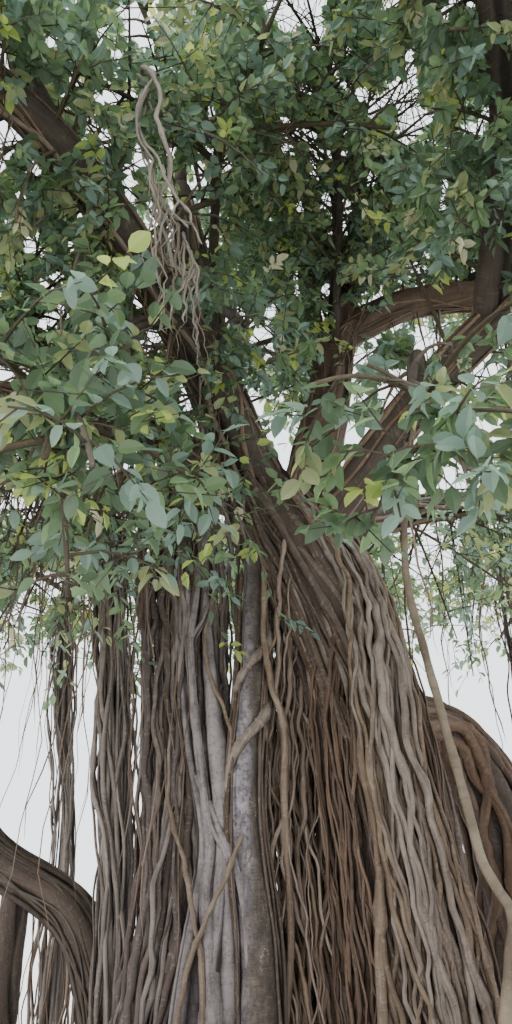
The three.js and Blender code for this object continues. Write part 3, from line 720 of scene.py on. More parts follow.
STEMS = [  # the column's smooth stems: path, radii, and how much wider than deep they are
    (
        [
            (-1.55, -0.08, 4.35), (-1.49, -0.1, 3.72), (-1.46, -0.12, 3.42), (-1.44, -0.14, 3.16),
            (-1.41, -0.15, 2.87), (-1.36, -0.15, 2.5), (-1.3, -0.15, 2.15), (-1.26, -0.15, 1.9),
            (-1.28, -0.16, 1.65), (-1.25, -0.2, 1.35), (-1.21, -0.23, 0.9), (-1.18, -0.28, BELOW_GROUND),
        ],
        [0.022, 0.026, 0.028, 0.034, 0.03, 0.031, 0.034, 0.042, 0.042, 0.045, 0.055, 0.1],
        0.1,
    ),
    (
        [
            (-1.33, -0.08, 4.3), (-1.39, -0.1, 3.72), (-1.41, -0.12, 3.42), (-1.43, -0.14, 3.16),
            (-1.42, -0.14, 2.95),
        ],
        [0.024, 0.027, 0.027, 0.03, 0.02],
        0.1,
    ),
    (
        [
            (-1.2, -0.04, 3.7), (-1.3, -0.08, 3.44), (-1.35, -0.12, 3.27), (-1.41, -0.14, 3.14),
            (-1.42, -0.14, 2.98),
        ],
        [0.012, 0.018, 0.02, 0.025, 0.02],
        0.1,
    ),
    (
        [
            (-1.36, -0.04, 4.2), (-1.34, -0.04, 3.5), (-1.31, -0.05, 3.1), (-1.28, -0.06, 2.8),
            (-1.25, -0.07, 2.5), (-1.21, -0.08, 2.15), (-1.19, -0.1, 1.88), (-1.17, -0.12, 1.6),
            (-1.16, -0.12, 1.3), (-1.17, -0.12, 0.6), (-1.17, -0.12, BELOW_GROUND),
        ],
        [0.035, 0.045, 0.06, 0.072, 0.08, 0.078, 0.065, 0.06, 0.07, 0.09, 0.14],
        0.45,
    ),
    (
        [
            (-1.62, -0.02, 4.3), (-1.59, -0.06, 3.74), (-1.53, -0.08, 3.37), (-1.5, -0.09, 3.0),
            (-1.43, -0.1, 2.5), (-1.35, -0.11, 2.16), (-1.31, -0.12, 1.91), (-1.34, -0.13, 1.6),
            (-1.4, -0.15, 1.2), (-1.46, -0.17, 0.5), (-1.5, -0.2, BELOW_GROUND),
        ],
        [0.02, 0.024, 0.026, 0.028, 0.03, 0.032, 0.04, 0.04, 0.045, 0.055, 0.09],
        0.12,
    ),
    (
        [
            (-1.24, -0.13, 2.2), (-1.2, -0.14, 1.92), (-1.2, -0.16, 1.7), (-1.21, -0.18, 1.45),
            (-1.26, -0.22, 1.04), (-1.34, -0.27, 0.5), (-1.4, -0.3, BELOW_GROUND),
        ],
        [0.03, 0.042, 0.045, 0.045, 0.05, 0.06, 0.1],
        0.12,
    ),
    (
        [
            (-1.36, -0.12, 2.3), (-1.3, -0.13, 2.14), (-1.22, -0.16, 1.98), (-1.14, -0.18, 1.84),
            (-1.07, -0.2, 1.6), (-1.03, -0.2, 1.2),
        ],
        [0.03, 0.04, 0.045, 0.042, 0.036, 0.03],
        0.15,
    ),
    (
        [
            (-1.42, 0.06, 4.2), (-1.39, 0.05, 3.2), (-1.34, 0.04, 2.5), (-1.31, 0.03, 1.8),
            (-1.33, 0.0, 0.8), (-1.36, 0.0, BELOW_GROUND),
        ],
        [0.04, 0.055, 0.07, 0.08, 0.09, 0.14],
        0.3,
    ),
    (
        [
            (-1.68, 0.0, 4.2), (-1.62, -0.02, 3.0), (-1.6, -0.04, 2.0), (-1.66, -0.05, 1.0),
            (-1.76, -0.07, BELOW_GROUND),
        ],
        [0.02, 0.024, 0.027, 0.032, 0.06],
        0.1,
    ),
]
# Roots that keep to paths of their own, over the column, beside the pillar and over the draped ones
LONE_ROOTS = [
    (
        [
            (-1.27, -0.1, 3.6), (-1.33, -0.16, 3.1), (-1.29, -0.17, 2.9), (-1.15, -0.19, 2.52),
            (-1.14, -0.2, 2.3),
        ],
        0.011,
    ),
    (
        [
            (-1.08, -0.27, 1.95), (-1.22, -0.27, 1.62), (-1.38, -0.25, 1.25), (-1.42, -0.26, 0.7),
            (-1.45, -0.3, 0),
        ],
        0.014,
    ),
    (
        [
            (-1.6, -0.06, 2.6), (-1.49, -0.13, 2.03), (-1.37, -0.22, 1.67), (-1.28, -0.26, 1.1),
            (-1.3, -0.32, 0),
        ],
        0.014,
    ),
    (
        [
            (-0.97, -0.1, 4.1), (-0.95, -0.18, 3.59), (-0.94, -0.23, 3.1), (-0.91, -0.22, 2.84),
            (-0.82, -0.16, 2.5), (-0.83, -0.12, 2.0), (-0.81, -0.1, 1.5), (-0.85, -0.1, 0.8),
            (-0.86, -0.1, 0),
        ],
        0.02,
    ),
    (
        [
            (-0.45, -0.28, 3.2), (-0.34, -0.36, 2.4), (-0.33, -0.42, 1.8), (-0.37, -0.45, 1.1),
            (-0.42, -0.48, 0),
        ],
        0.026,
    ),
    (
        [
            (-0.12, -0.42, 2.6), (-0.01, -0.45, 2.02), (0.13, -0.48, 1.6), (0.2, -0.52, 1.0),
            (0.22, -0.56, 0),
        ],
        0.013,
    ),
]
CURTAIN = {
    "points": [
        (-0.72, 0.28, 3.85), (-0.72, 0.36, 2.9), (-0.7, 0.38, 1.7), (-0.66, 0.4, 0.6),
        (-0.66, 0.42, BELOW_GROUND),
    ],
    "half_width": [0.2, 0.24, 0.27, 0.27, 0.3],
}
LOOSE_CURTAIN = {
    "points": [
        (-0.72, -0.24, 3.9), (-0.74, -0.1, 3.2), (-0.72, 0.0, 2.2), (-0.66, 0.0, 1.0),
        (-0.66, 0.0, BELOW_GROUND),
    ],
    "half_width": [0.1, 0.17, 0.23, 0.25, 0.27],
}
BOUGHS = {  # the path and radii of each
    "bough_leader": (
        [(-1.0, 0.08, 4.35), (-1.33, 0.15, 5.4), (-1.55, 0.25, 6.7), (-1.75, 0.3, 7.95)],
        [0.25, 0.2, 0.15, 0.09],
    ),
    "bough_right_rise": (
        [(-0.72, 0.08, 3.95), (-0.46, 0.22, 5.0), (-0.33, 0.3, 5.8), (-0.2, 0.33, 6.3)],
        [0.22, 0.18, 0.16, 0.15],
    ),
    "bough_right": (
        [(-0.3, 0.32, 6.05), (0.45, 0.3, 6.42), (1.4, 0.1, 6.35), (2.4, -0.15, 6.4), (3.3, -0.3, 6.45)],
        [0.14, 0.13, 0.125, 0.1, 0.07],
    ),
    "bough_left": (
        [
            (-0.95, 0.08, 4.25), (-1.5, -0.12, 4.55), (-2.2, -0.45, 4.74), (-3.0, -0.55, 4.85),
            (-3.7, -0.55, 5.0),
        ],
        [0.15, 0.12, 0.09, 0.07, 0.055],
    ),
    "bough_front_left": (
        [(-0.98, 0, 4.42), (-1.42, -0.8, 5.0), (-2.1, -1.9, 5.5), (-2.75, -2.7, 5.6)],
        [0.17, 0.14, 0.12, 0.07],
    ),
    "bough_back_left": (
        [(-0.98, 0.12, 4.3), (-1.9, 1.1, 5.0), (-2.8, 2.1, 5.4), (-3.3, 2.7, 5.5)],
        [0.17, 0.14, 0.11, 0.07],
    ),
    "bough_back": (
        [(-0.88, 0.1, 4.3), (-0.85, 1.3, 5.1), (-0.65, 2.6, 5.5), (-0.55, 3.4, 5.6)],
        [0.17, 0.13, 0.1, 0.07],
    ),
    "bough_back_right": (
        [(-0.62, 0.1, 3.85), (0.3, 1.1, 4.7), (1.4, 2.1, 5.3), (2.0, 2.6, 5.4)],
        [0.17, 0.13, 0.1, 0.07],
    ),
    "bough_front_right": (
        [(-0.6, 0, 3.85), (0.15, -0.95, 4.6), (1.2, -2.0, 5.2), (1.8, -2.6, 5.4)],
        [0.15, 0.12, 0.1, 0.065],
    ),
    "bough_front": (
        [(0.44, -1.26, 4.8), (0.38, -2.2, 5.45), (0.02, -3.1, 5.9), (-0.3, -3.75, 6.0)],
        [0.1, 0.09, 0.075, 0.06],
    ),
    "bough_upper_front_left": (
        [(-2.05, -1.85, 5.48), (-2.4, -1.9, 6.15), (-2.65, -1.95, 6.7)],
        [0.09, 0.075, 0.055],
    ),
    "bough_upper_left": ([(-1.48, 0.22, 6.2), (-2.1, 0.45, 6.75), (-2.65, 0.6, 7.1)], [0.1, 0.08, 0.06]),
    "bough_upper_back": ([(-1.55, 0.25, 6.6), (-1.35, 1.1, 7.1), (-1.15, 1.7, 7.35)], [0.1, 0.08, 0.055]),
    "bough_upper_right": ([(0.8, 0.24, 6.42), (1.05, 0.5, 6.85), (1.3, 0.65, 7.2)], [0.085, 0.07, 0.055]),
    "bough_upper_front": ([(0.24, -2.6, 5.67), (0.27, -2.7, 6.2), (0.25, -2.75, 6.75)], [0.07, 0.06, 0.05]),
    "bough_inner": ([(-1.4, 0.17, 5.7), (-1.36, -0.2, 5.92), (-1.34, -0.5, 6.02)], [0.07, 0.055, 0.045]),
    "bough_low_left": (
        [(-1.5, -0.93, 5.06), (-1.7, -1.35, 4.75), (-1.85, -1.75, 4.2), (-1.9, -1.95, 3.9)],
        [0.05, 0.042, 0.035, 0.028],
    ),
    "bough_low_right": (
        [(0.1, -0.88, 4.56), (-0.05, -1.4, 4.45), (-0.2, -1.85, 4.05), (-0.28, -2.1, 3.75)],
        [0.045, 0.038, 0.03, 0.024],
    ),
}
RISERS = {  # leafy limbs that go on from the boughs and fill the crown's heart
    "riser": (
        [(-0.22, 0.33, 6.2), (-0.1, 0.1, 7.0), (0.0, -0.1, 7.8), (0.05, -0.2, 8.5)],
        [0.07, 0.055, 0.04, 0.025],
    ),
    "low_riser": (
        [(-0.35, 0.25, 5.8), (-0.35, -0.5, 6.3), (-0.4, -1.1, 6.8), (-0.5, -1.5, 7.3)],
        [0.06, 0.045, 0.035, 0.02],
    ),
    "left_riser": ([(-2.45, -0.49, 4.78), (-2.65, -0.55, 5.4), (-2.8, -0.45, 6.2)], [0.045, 0.035, 0.02]),
}
ROPES = {  # the path and radii of each bundle, and how many roots it has
    "hanging_roots_left": (
        [
            (-2.1, -0.41, 4.72), (-2.02, 0.05, 3.6), (-1.93, 0.2, 2.5), (-1.84, 0.24, 1.2),
            (-1.84, 0.24, BELOW_GROUND),
        ],
        [0.06, 0.1, 0.11, 0.11, 0.15],
        44,
    ),
    "hanging_roots_far_left": (
        [(-2.78, 2.09, 5.39), (-2.86, 2.2, 3.8), (-2.66, 2.26, 2.0), (-2.62, 2.28, BELOW_GROUND)],
        [0.06, 0.09, 0.1, 0.16],
        28,
    ),
    "leader_roots": (
        [
            (-1.7, 0.28, 7.6), (-1.84, 0.02, 6.9), (-1.7, -0.08, 6.1), (-1.52, -0.1, 5.3),
            (-1.15, -0.02, 4.55),
        ],
        [0.04, 0.09, 0.1, 0.08, 0.06],
        16,
    ),
    "hanging_roots_right": (
        [(1.25, 0.14, 6.33), (1.08, 0.12, 4.8), (1.16, 0.1, 2.4), (1.3, 0.1, BELOW_GROUND)],
        [0.06, 0.1, 0.13, 0.19],
        28,
    ),
    "prop_root_right": (
        [(2.75, -0.22, 6.4), (2.82, -0.3, 4.4), (2.8, -0.32, 2.2), (2.86, -0.32, BELOW_GROUND)],
        [0.06, 0.09, 0.12, 0.2],
        14,
    ),
    "prop_root_back": (
        [(-0.6, 3.0, 5.54), (-0.56, 3.06, 3.8), (-0.6, 3.1, 2.0), (-0.56, 3.12, BELOW_GROUND)],
        [0.06, 0.1, 0.13, 0.2],
        14,
    ),
    "prop_root_back_right": (
        [(1.45, 2.14, 5.3), (1.5, 2.2, 3.7), (1.46, 2.22, 2.0), (1.5, 2.24, BELOW_GROUND)],
        [0.06, 0.09, 0.12, 0.19],
        14,
    ),
    "prop_root_front_left": (
        [(-2.5, -2.4, 5.56), (-2.62, -2.5, 4.0), (-2.66, -2.52, 2.0), (-2.68, -2.54, BELOW_GROUND)],
        [0.06, 0.08, 0.1, 0.17],
        14,
    ),
    "prop_root_front_right": (
        [(1.45, -2.26, 5.28), (1.5, -2.32, 3.8), (1.46, -2.34, 2.0), (1.5, -2.36, BELOW_GROUND)],
        [0.06, 0.09, 0.11, 0.18],
        14,
    ),
}
TANGLE_WAY = [  # the way of the pale roots in front of the leader, below the branch that carries them
    (-1.64, -2.1, 5.9), (-1.62, -2.12, 5.4), (-1.5, -2.05, 5.05), (-1.36, -1.95, 4.78), (-1.3, -1.85, 4.5),
]
TUFTS = {  # the thin roots that hang from each bough: how many, and the longest in metres
    "bough_left": (99, 3.6), "bough_right": (45, 3.2), "bough_front_left": (24, 1.4),
    "bough_back_left": (36, 3.0), "bough_back": (21, 2.8), "bough_back_right": (24, 3.0),
    "bough_front_right": (15, 1.6), "bough_leader": (15, 1.8), "bough_upper_left": (9, 1.6),
}
LOWEST_TIP = 0.6  # how far above the ground such roots end at least, in metres
MAIN_BOUGH = 0.12  # boughs whose first radius is above this have finer skins and clinging roots
RED_BOUGHS = ("bough_right", "bough_right_rise")


def shares_of_path(points, starts, steps):
    """For each start, even shares of the path from there to its end or to the ground."""
    last = span_above_ground(points)[1]
    return starts[:, None] + (last - starts)[:, None] * np.linspace(0, 1, steps)


def grounded(points, centres):
    """The centres with their last one put on the ground where the path goes on below it."""
    if points[-1][2] < 0:
        centres[..., -1, 2] = 0
    return centres


def beside(away, angle):
    """The step away * sin(angle) to the right and away * cos(angle) to the front."""
    return np.stack([away * np.sin(angle), -away * np.cos(angle), np.zeros_like(away)], axis=-1)


def around_path(points, t, away, angle):
    """Places beside a path, and the steps that lead to them from it."""
    aside = beside(away, angle)
    return grounded(points, path_at(points, t) + aside), aside


def in_sheet(points, t, across, back):
    """Places in a sheet that follows a path: so far to its right and so far behind it."""
    return grounded(points, path_at(points, t) + np.stack([across, back, 0 * t], axis=-1))


def at_height(points, values, z):
    """The place and the value that a rising path has at a height."""
    t = np.linspace(0, 1, 2001)
    path = path_at(points, t)
    place = np.stack([np.interp(z, path[:, 2], path[:, axis]) for axis in (0, 1)] + [z], axis=-1)
    return place, np.interp(z, path[:, 2], mix_of(values, t))


def draped_roots(count, seed, sides, high, low, thickness, layers, tones):
    """Roots that fell from the trunk's upper right side. Up there they lie on the trunk's own round, and
    further down each keeps to an angle on a round that widens to the ground, and swings, drifts and crosses
    its neighbours. high and low are the spans of those angles at the fork and on the way down, in degrees
    to the right of the front."""
    steps = 90
    j = np.arange(count) + seed
    points = DRAPE["points"]
    late = chance(j, 2) > 0.74
    starts = np.where(late, between(0.14, 0.5, chance(j, 3)), 0.04 * chance(j, 4))
    t = shares_of_path(points, starts, steps)
    home = ((np.floor(j / 3) * GOLDEN_SHARE) % 1)[:, None]
    degrees = between(between(*high, home), between(*low, home), ramp(0.0, 0.5, t))
    drift = between(-12, 12, chance(j, 5)) * np.where(chance(j, 6) > 0.8, 2, 1)
    degrees = degrees + between(-4, 4, chance(j, 12))[:, None] + drift[:, None] * (t - 0.45)
    degrees = degrees + parting(j, t, 3, 9) + 5 * wander(j, t) + 3 * wander(j + 300, t, (5, 8, 13))
    degrees = degrees + wander(j + 350, t, (17, 23, 31))
    layer = between(*layers, chance(j, 7))
    emerging = np.where(late[:, None], 0.19 * ramp(0.16, 0.0, t - starts[:, None]), 0)
    fallen = ramp(0.04, 0.3, t)
    path = path_at(points, t)
    trunk, trunk_radius = at_height(TRUNK["points"], TRUNK["radii"], path[..., 2])
    away = between(trunk_radius + 0.02, mix_of(DRAPE["round"], t), fallen) + layer[:, None] - emerging
    away = away + 0.022 * wander(j + 500, t, (2, 5, 9)) + 0.006 * wander(j + 520, t, (15, 21, 29))
    outward = beside(away, np.radians(degrees))
    centres = grounded(points, between(trunk, path, fallen[..., None]) + outward)
    radius = between(*thickness, chance(j, 9) ** 1.2)
    radii = radius[:, None] * (0.85 + 0.15 * wander(j + 700, t, (1, 2, 3)) + 0.4 * ramp(0.7, 1, t))
    # roots that lie further in get painted shade: a lower tone and a shade mark
    sunken = (layers[1] - layer) / (layers[1] - layers[0])
    tone = np.clip(between(*tones, chance(j, 11)) - 0.2 * sunken, 0.02, 1)
    painted_dark = 0.45 * sunken[:, None]
    return strands(centres, radii, j, sides, outward, tone, depth=painted_dark, closing=(0.2, 1.0))


def trunk_roots():
    """Roots fused to the rest of the trunk, up to its fork. Every third lies on its left front, slants to
    the right on its way down and sinks in under the draped ones."""
    count, steps = 92, 70
    j = np.arange(count) + 1000
    points = TRUNK["points"][::-1]
    in_front = j % 3 == 0
    starts = np.where(in_front, 0.12, 0.3) * chance(j, 1) * (chance(j, 2) > 0.4)
    t = shares_of_path(points, starts, steps)
    share = (np.floor(j / 2) * GOLDEN_SHARE) % 1
    home = np.where(in_front, between(-78, 42, share), between(70, 330, share))
    home = home + between(-6, 6, chance(j, 12))
    drift = np.where(in_front, between(20, 90, chance(j, 3)), between(-40, 40, chance(j, 3)))
    degrees = home[:, None] + drift[:, None] * (t - np.where(in_front, 0.0, 0.5)[:, None])
    degrees = degrees + parting(j, t, 2, 18) + 7 * wander(j, t) + 3.5 * wander(j + 300, t, (5, 8, 13))
    surface = mix_of(TRUNK["radii"][::-1], t)
    sinking = np.where(in_front[:, None], 0.12 * ramp(0.42, 0.6, t), 0)
    away = surface + between(-0.01, 0.035, chance(j, 4))[:, None]
    away = away + 0.012 * wander(j + 500, t, (2, 5, 9)) - sinking
    centres, outward = around_path(points, t, away, np.radians(degrees))
    radii = between(0.01, 0.036, chance(j, 5) ** 1.4)[:, None] * (0.9 + 0.5 * ramp(0.75, 1, t))
    tone = np.where(in_front, between(0.0, 0.45, chance(j, 6)), chance(j, 6))
    return strands(centres, radii, j, 6, outward, tone)


def pillar_skin():
    """A smooth pillar with low bulges, whose foot spreads in three soft lobes."""
    points, radii = PILLAR["points"], PILLAR["radii"]
    steps, sides = 260, 52
    low, high = span_above_ground(points)
    t = np.linspace(low, high, steps)
    centres = path_at(points, t)
    centres[0, 2] = 0
    angle = angles_round(sides)
    radius = mix_of(radii, t)[:, None]
    foot_lobes = 0.1 * ramp(0.3, 0.0, t)[:, None] * np.cos(3 * angle + 2)
    flats = 0.035 * np.cos(2 * angle + 9 * t[:, None])
    round_here = radius * (1 + foot_lobes + flats)
    rough = rings(centres, round_here, sides, (True, False))
    bulges = 0.008 * noise(rough, 0.22, 3) + 0.0035 * noise(rough, 0.06, 4)
    points_here = rings(centres, round_here + bulges, sides, (True, False))
    return skin_over(points_here[None], 0.7, 0.0)


def winding_roots():
    """The roots wound about the pillar: each comes round its right side, crosses the front at a slant, and
    steepens and tapers out along its left side."""
    t = np.linspace(0, 1, 110)
    skins = []
    for i, (path, radius) in enumerate(WINDINGS):
        degrees, height = path_at(path, t).T
        middle, pillar_radius = at_height(PILLAR["points"], PILLAR["radii"], height)
        angle = np.radians(degrees)
        away = pillar_radius + radius * between(0.2, 0.55, ramp(0.1, 0.3, t))
        aside = beside(away, angle)
        radii = radius * (1 + 0.12 * np.sin(9 * t)) * between(1, 0.25, ramp(0.5, 1, t))
        root = strands(
            (middle + aside)[None], radii[None], [2050 + i], sides=10, outward=aside[None], tone=0.8,
            level=False, closing=(0.6, 0.1),
        )
        skins.append(root)
    return joined(skins)


def lone_roots():
    """The roots of LONE_ROOTS, each with a slight swing."""
    t = np.linspace(0, 1, 90)
    j = np.arange(len(LONE_ROOTS)) + 2200
    centres = np.stack([path_at(points, t) for points, _ in LONE_ROOTS])
    for axis in (0, 1):
        centres[..., axis] += 0.009 * wander(j + 40 * axis, t, (3, 7, 13))
    radii = np.array([radius for _, radius in LONE_ROOTS])[:, None] * (0.9 + 0.35 * t)
    return strands(centres, radii, j, 8, TO_THE_FRONT, 0.7, closing=(0.3, 0.8))


def pillar_companions():
    """Thin roots that run down beside the pillar and cross its foot."""
    count, steps = 12, 90
    j = np.arange(count) + 2100
    points = PILLAR["points"][::-1]
    starts = between(0.0, 0.35, chance(j, 1))
    t = shares_of_path(points, starts, steps)
    home = between(0.2, 2 * np.pi, (j * GOLDEN_SHARE) % 1)
    angle = home[:, None] + between(-2.2, 2.2, chance(j, 2))[:, None] * t
    away = mix_of(PILLAR["radii"][::-1], t) + between(0.008, 0.035, chance(j, 3))[:, None]
    away = away + 0.008 * wander(j, t, (3, 5, 9))
    centres, outward = around_path(points, t, away, angle + 0.12 * wander(j + 9, t))
    radii = between(0.006, 0.016, chance(j, 4))[:, None] * (1 + 0.4 * ramp(0.8, 1, t))
    return strands(centres, radii, j, 6, outward)


def column_stems():
    """The smooth stems of the left column, fluted as if several roots had fused in each."""
    stems = []
    for i, (points, radii, wider) in enumerate(STEMS):
        stem = fluted_limb(
            points, radii, sides=22, steps=26 * len(points), seed=31 + i, lobes=2, lobe_depth=-wider,
            roots=4, relief=0.3, tone=0.5 + 0.25 * chance(i, 1), grain=0.07,
        )
        stems.append(stem)
    return joined(stems)


def column_roots():
    """The thin roots of the left column, behind its stems and before its left half."""
    count, steps = 88, 70
    j = np.arange(count) + 3200
    points = COLUMN["points"][::-1]
    starts = between(0.0, 0.35, chance(j, 1) ** 2)
    t = shares_of_path(points, starts, steps)
    wide = mix_of(COLUMN["half_width"][::-1], t) + 0.02
    layer = between(-0.11, 0.12, chance(j, 4))
    home = between(-1.1, np.where(layer < 0, 0.0, 1.05), (j * GOLDEN_SHARE) % 1)
    drift = between(-0.5, 0.5, chance(j, 2)) * np.where(chance(j, 3) > 0.75, 2, 1)
    place = home[:, None] + drift[:, None] * (t - 0.5) + parting(j, t, 2, 0.3)
    place = place + 0.17 * wander(j, t) + 0.08 * wander(j + 80, t, (5, 9, 14))
    place = place + 0.02 * wander(j + 90, t, (17, 23, 29))
    centres = in_sheet(points, t, wide * place, layer[:, None] + 0.02 * wander(j + 60, t, (2, 4, 7)))
    radius = between(0.007, 0.026, chance(j, 5) ** 1.5)
    radii = radius[:, None] * (1 + 0.5 * ramp(0.75, 1, t))
    # roots further back get painted shade
    painted_dark = np.clip(0.15 + 3.5 * layer, 0, 0.55)[:, None]
    outward = np.stack([0.5 * wide * place, np.full_like(t, -0.2), 0 * t], axis=-1)
    return strands(centres, radii, j, 6, outward, depth=painted_dark)


def curtain_roots():
    """The tangled thin roots under the leaning trunk, reddish brown, with every fourth thicker and further
    back."""
    count, steps = 132, 64
    j = np.arange(count) + 4000
    points = CURTAIN["points"]
    starts = between(0.0, 0.45, chance(j, 1) ** 1.5)
    t = shares_of_path(points, starts, steps)
    wide = mix_of(CURTAIN["half_width"], t) + 0.03
    home = between(-1.1, 1.5, (j * GOLDEN_SHARE) % 1)
    drift = between(-0.7, 0.7, chance(j, 2)) * np.where(chance(j, 3) > 0.7, 2, 1)
    place = home[:, None] + drift[:, None] * (t - 0.5) + parting(j, t, 3, 0.3)
    place = place + 0.22 * wander(j, t) + 0.12 * wander(j + 80, t, (5, 9, 15))
    place = place + 0.03 * wander(j + 90, t, (17, 23, 29))
    behind = j % 4 == 0
    layer = np.where(behind, between(0.07, 0.15, chance(j, 4)), between(-0.13, 0.07, chance(j, 4)))
    centres = in_sheet(points, t, wide * place, layer[:, None] + 0.03 * wander(j + 60, t, (2, 4, 7)))
    radius = np.where(behind, between(0.02, 0.034, chance(j, 5)), between(0.005, 0.02, chance(j, 5) ** 1.6))
    radii = radius[:, None] * (1 + 0.3 * ramp(0.8, 1, t))
    # roots further back get painted shade
    painted_dark = np.clip(0.1 + 3 * layer, 0, 0.5)[:, None]
    return strands(centres, radii, j, 5, TO_THE_FRONT, depth=painted_dark)


def loose_curtain():
    """Loose roots that fall from the leaning trunk's underside between the pillar and the draped roots,
    tangle, and part again."""
    count, steps = 46, 84
    j = np.arange(count) + 4500
    points = LOOSE_CURTAIN["points"]
    starts = between(0.0, 0.3, chance(j, 1))
    t = shares_of_path(points, starts, steps)
    wide = mix_of(LOOSE_CURTAIN["half_width"], t)
    place = between(-1, 1, (np.floor(j / 2) * GOLDEN_SHARE) % 1)[:, None] + parting(j, t, 2, 0.5)
    place = place + between(-0.7, 0.7, chance(j, 2))[:, None] * (t - 0.4)
    place = place + 0.3 * wander(j, t, (1.6, 3.1, 6.2)) + 0.07 * wander(j + 80, t, (11, 17, 25))
    layer = between(-0.1, 0.16, chance(j, 3))[:, None] + 0.05 * wander(j + 60, t, (2, 4, 7))
    centres = in_sheet(points, t, wide * place, layer)
    radii = between(0.005, 0.017, chance(j, 5) ** 1.4)[:, None] * (1 + 0.3 * ramp(0.8, 1, t))
    return strands(centres, radii, j, 6, TO_THE_FRONT, between(0.35, 1.0, chance(j, 6)))


def rope_roots(points, radii, count, seed):
    """Roots that wind about a path and sink into each other; the thickest run near the middle."""
    steps = 80
    j = np.arange(count) + seed
    starts = between(0.0, 0.35, chance(j, 1) ** 2)
    t = shares_of_path(points, starts, steps)
    side = np.where(chance(j, 2) < 0.5, -1, 1)
    turns = between(0.15, 0.7, chance(j, 3)) * side
    angle = 2 * np.pi * ((j * GOLDEN_SHARE)[:, None] + turns[:, None] * t) + 0.5 * wander(j, t)
    share = between(0.1, 1.3, chance(j, 4) ** 0.7)
    away = mix_of(radii, t) * share[:, None] * (0.95 + 0.3 * wander(j + 50, t, (3, 6, 11)))
    centres, outward = around_path(points, t, away, angle)
    thickness = between(0.07, 0.27, chance(j, 5) ** 1.4) * between(1.3, 0.7, share)
    own = mix_of(radii, t) * thickness[:, None] * (0.8 + 0.25 * chance(j, 6))[:, None]
    own = np.maximum(own, 0.004)
    return strands(centres, own, j, 6, outward, level=points[-1][2] < 0, closing=(0.4, 0.9))


def limb_roots(points, radii, count, seed, thickness, span=(0.0, 1.0), sides=5, steps=46):
    """Roots that cling to a limb, with its bends, and cross over it at a low slant."""
    j = np.arange(count) + seed
    low, high = span_above_ground(points)
    t = between(max(low, span[0]), min(high, span[1]), np.linspace(0, 1, steps))[None].repeat(count, axis=0)
    centres = path_at(points, t)
    way = unit(np.gradient(centres, axis=-2))
    across, up = square_to(way, np.array([0.0, 1.0, 0.0]))
    home = 2 * np.pi * (j * GOLDEN_SHARE)[:, None]
    angle = home + between(-3, 3, chance(j, 1))[:, None] * t + 0.5 * wander(j, t)
    own = between(*thickness, chance(j, 2))[:, None] * (0.9 + 0.15 * wander(j + 3, t, (2, 3, 5)))
    away = mix_of(radii, t) * 1.02 + 0.35 * own
    aside = away[..., None] * (np.cos(angle)[..., None] * across + np.sin(angle)[..., None] * up)
    centres = grounded(points, centres + aside)
    return strands(centres, own, j, sides, aside, level=points[-1][2] < 0, closing=(0.3, 0.6))


def dangling_roots(points, radii, count, seed, longest, span=(0.15, 0.95), straight=0.03):
    """Thin roots that hang from a bough's underside in tufts of three and end in the air."""
    steps = 16
    j = np.arange(count) + seed
    tuft = np.floor(j / 3)
    along = between(*span, (tuft * GOLDEN_SHARE + 0.012 * (j % 3)) % 1)
    top = path_at(points, along)
    top[:, 2] -= 0.6 * mix_of(radii, along)
    length = longest * between(0.25, 1, chance(j, 1))
    length = np.minimum(length, top[:, 2] - LOWEST_TIP)
    t = np.linspace(0, 1, steps)
    centres = np.repeat(top[:, None, :], steps, axis=1)
    centres[..., 2] -= length[:, None] * t
    for axis in (0, 1):
        swing = straight * length[:, None] * ramp(0, 0.5, t) * wander(j + 40 * axis, t, (0.7, 1.9, 4.1))
        centres[..., axis] += swing + between(-0.05, 0.05, chance(j, 5 + axis))[:, None] * ramp(0, 0.4, t)
    radius = between(0.0035, 0.012, chance(j, 2) ** 2)
    radii_here = radius[:, None] * (1 - 0.5 * t)
    return strands(centres, radii_here, j, 4, level=False, closing=(1.0, 0.2))


def tangled_roots(top):
    """Pale roots in front of the leader: a few long ones that hang from a branch and slant to the right,
    and a fringe that hangs from their lower half."""
    lead = [top, *TANGLE_WAY]
    count, steps = 7, 90
    j = np.arange(count) + 9000
    t = between(0.02 * chance(j, 1), between(0.7, 1.0, chance(j, 2)), np.linspace(0, 1, steps)[:, None]).T
    centres = path_at(lead, t)
    loose = ramp(0, 0.25, t) * between(0.02, 0.13, chance(j, 3))[:, None]
    for axis in (0, 1):
        centres[..., axis] += loose * wander(j + 40 * axis, t, (0.9, 1.7, 4.2))
        centres[..., axis] += 0.005 * wander(j + 70 * axis, t, (9, 14, 23))
    radii = between(0.008, 0.024, chance(j, 4) ** 1.5)[:, None] * between(1, 0.5, t)
    tone = between(0.75, 1.0, chance(j, 5))
    long_ones = strands(centres, radii, j, 7, tone=tone, level=False, closing=(0.8, 0.2))
    fringe = dangling_roots(lead, [0.03], 24, 9100, longest=0.9, span=(0.45, 0.95), straight=0.06)
    return joined([long_ones, fringe])


def build_trunk():
    """The trunk with the roots fused to it and the two layers of draped ones."""
    trunk = fluted_limb(
        **TRUNK, sides=110, steps=260, seed=11, lobes=5, lobe_depth=0.09, turn=2.2, roots=15, relief=0.13,
        tone=0.3,
    )
    add_piece("trunk_bark", trunk, BARK, ["trunk"])
    add_piece("trunk_roots", trunk_roots(), ROOT_BARK)
    bundle = draped_roots(
        count=45, seed=0, sides=7, high=(14, 84), low=(-13, 22), thickness=(0.011, 0.03),
        layers=(-0.01, 0.1), tones=(0.55, 1.0),
    )
    add_piece("draped_root_strands", bundle, ROOT_BARK, ["draped_roots"])
    under = draped_roots(
        count=78, seed=300, sides=5, high=(8, 112), low=(-78, 62), thickness=(0.005, 0.018),
        layers=(-0.08, 0.0), tones=(0.1, 0.8),
    )
    add_piece("thin_draped_strands", under, DARK_ROOT_BARK)


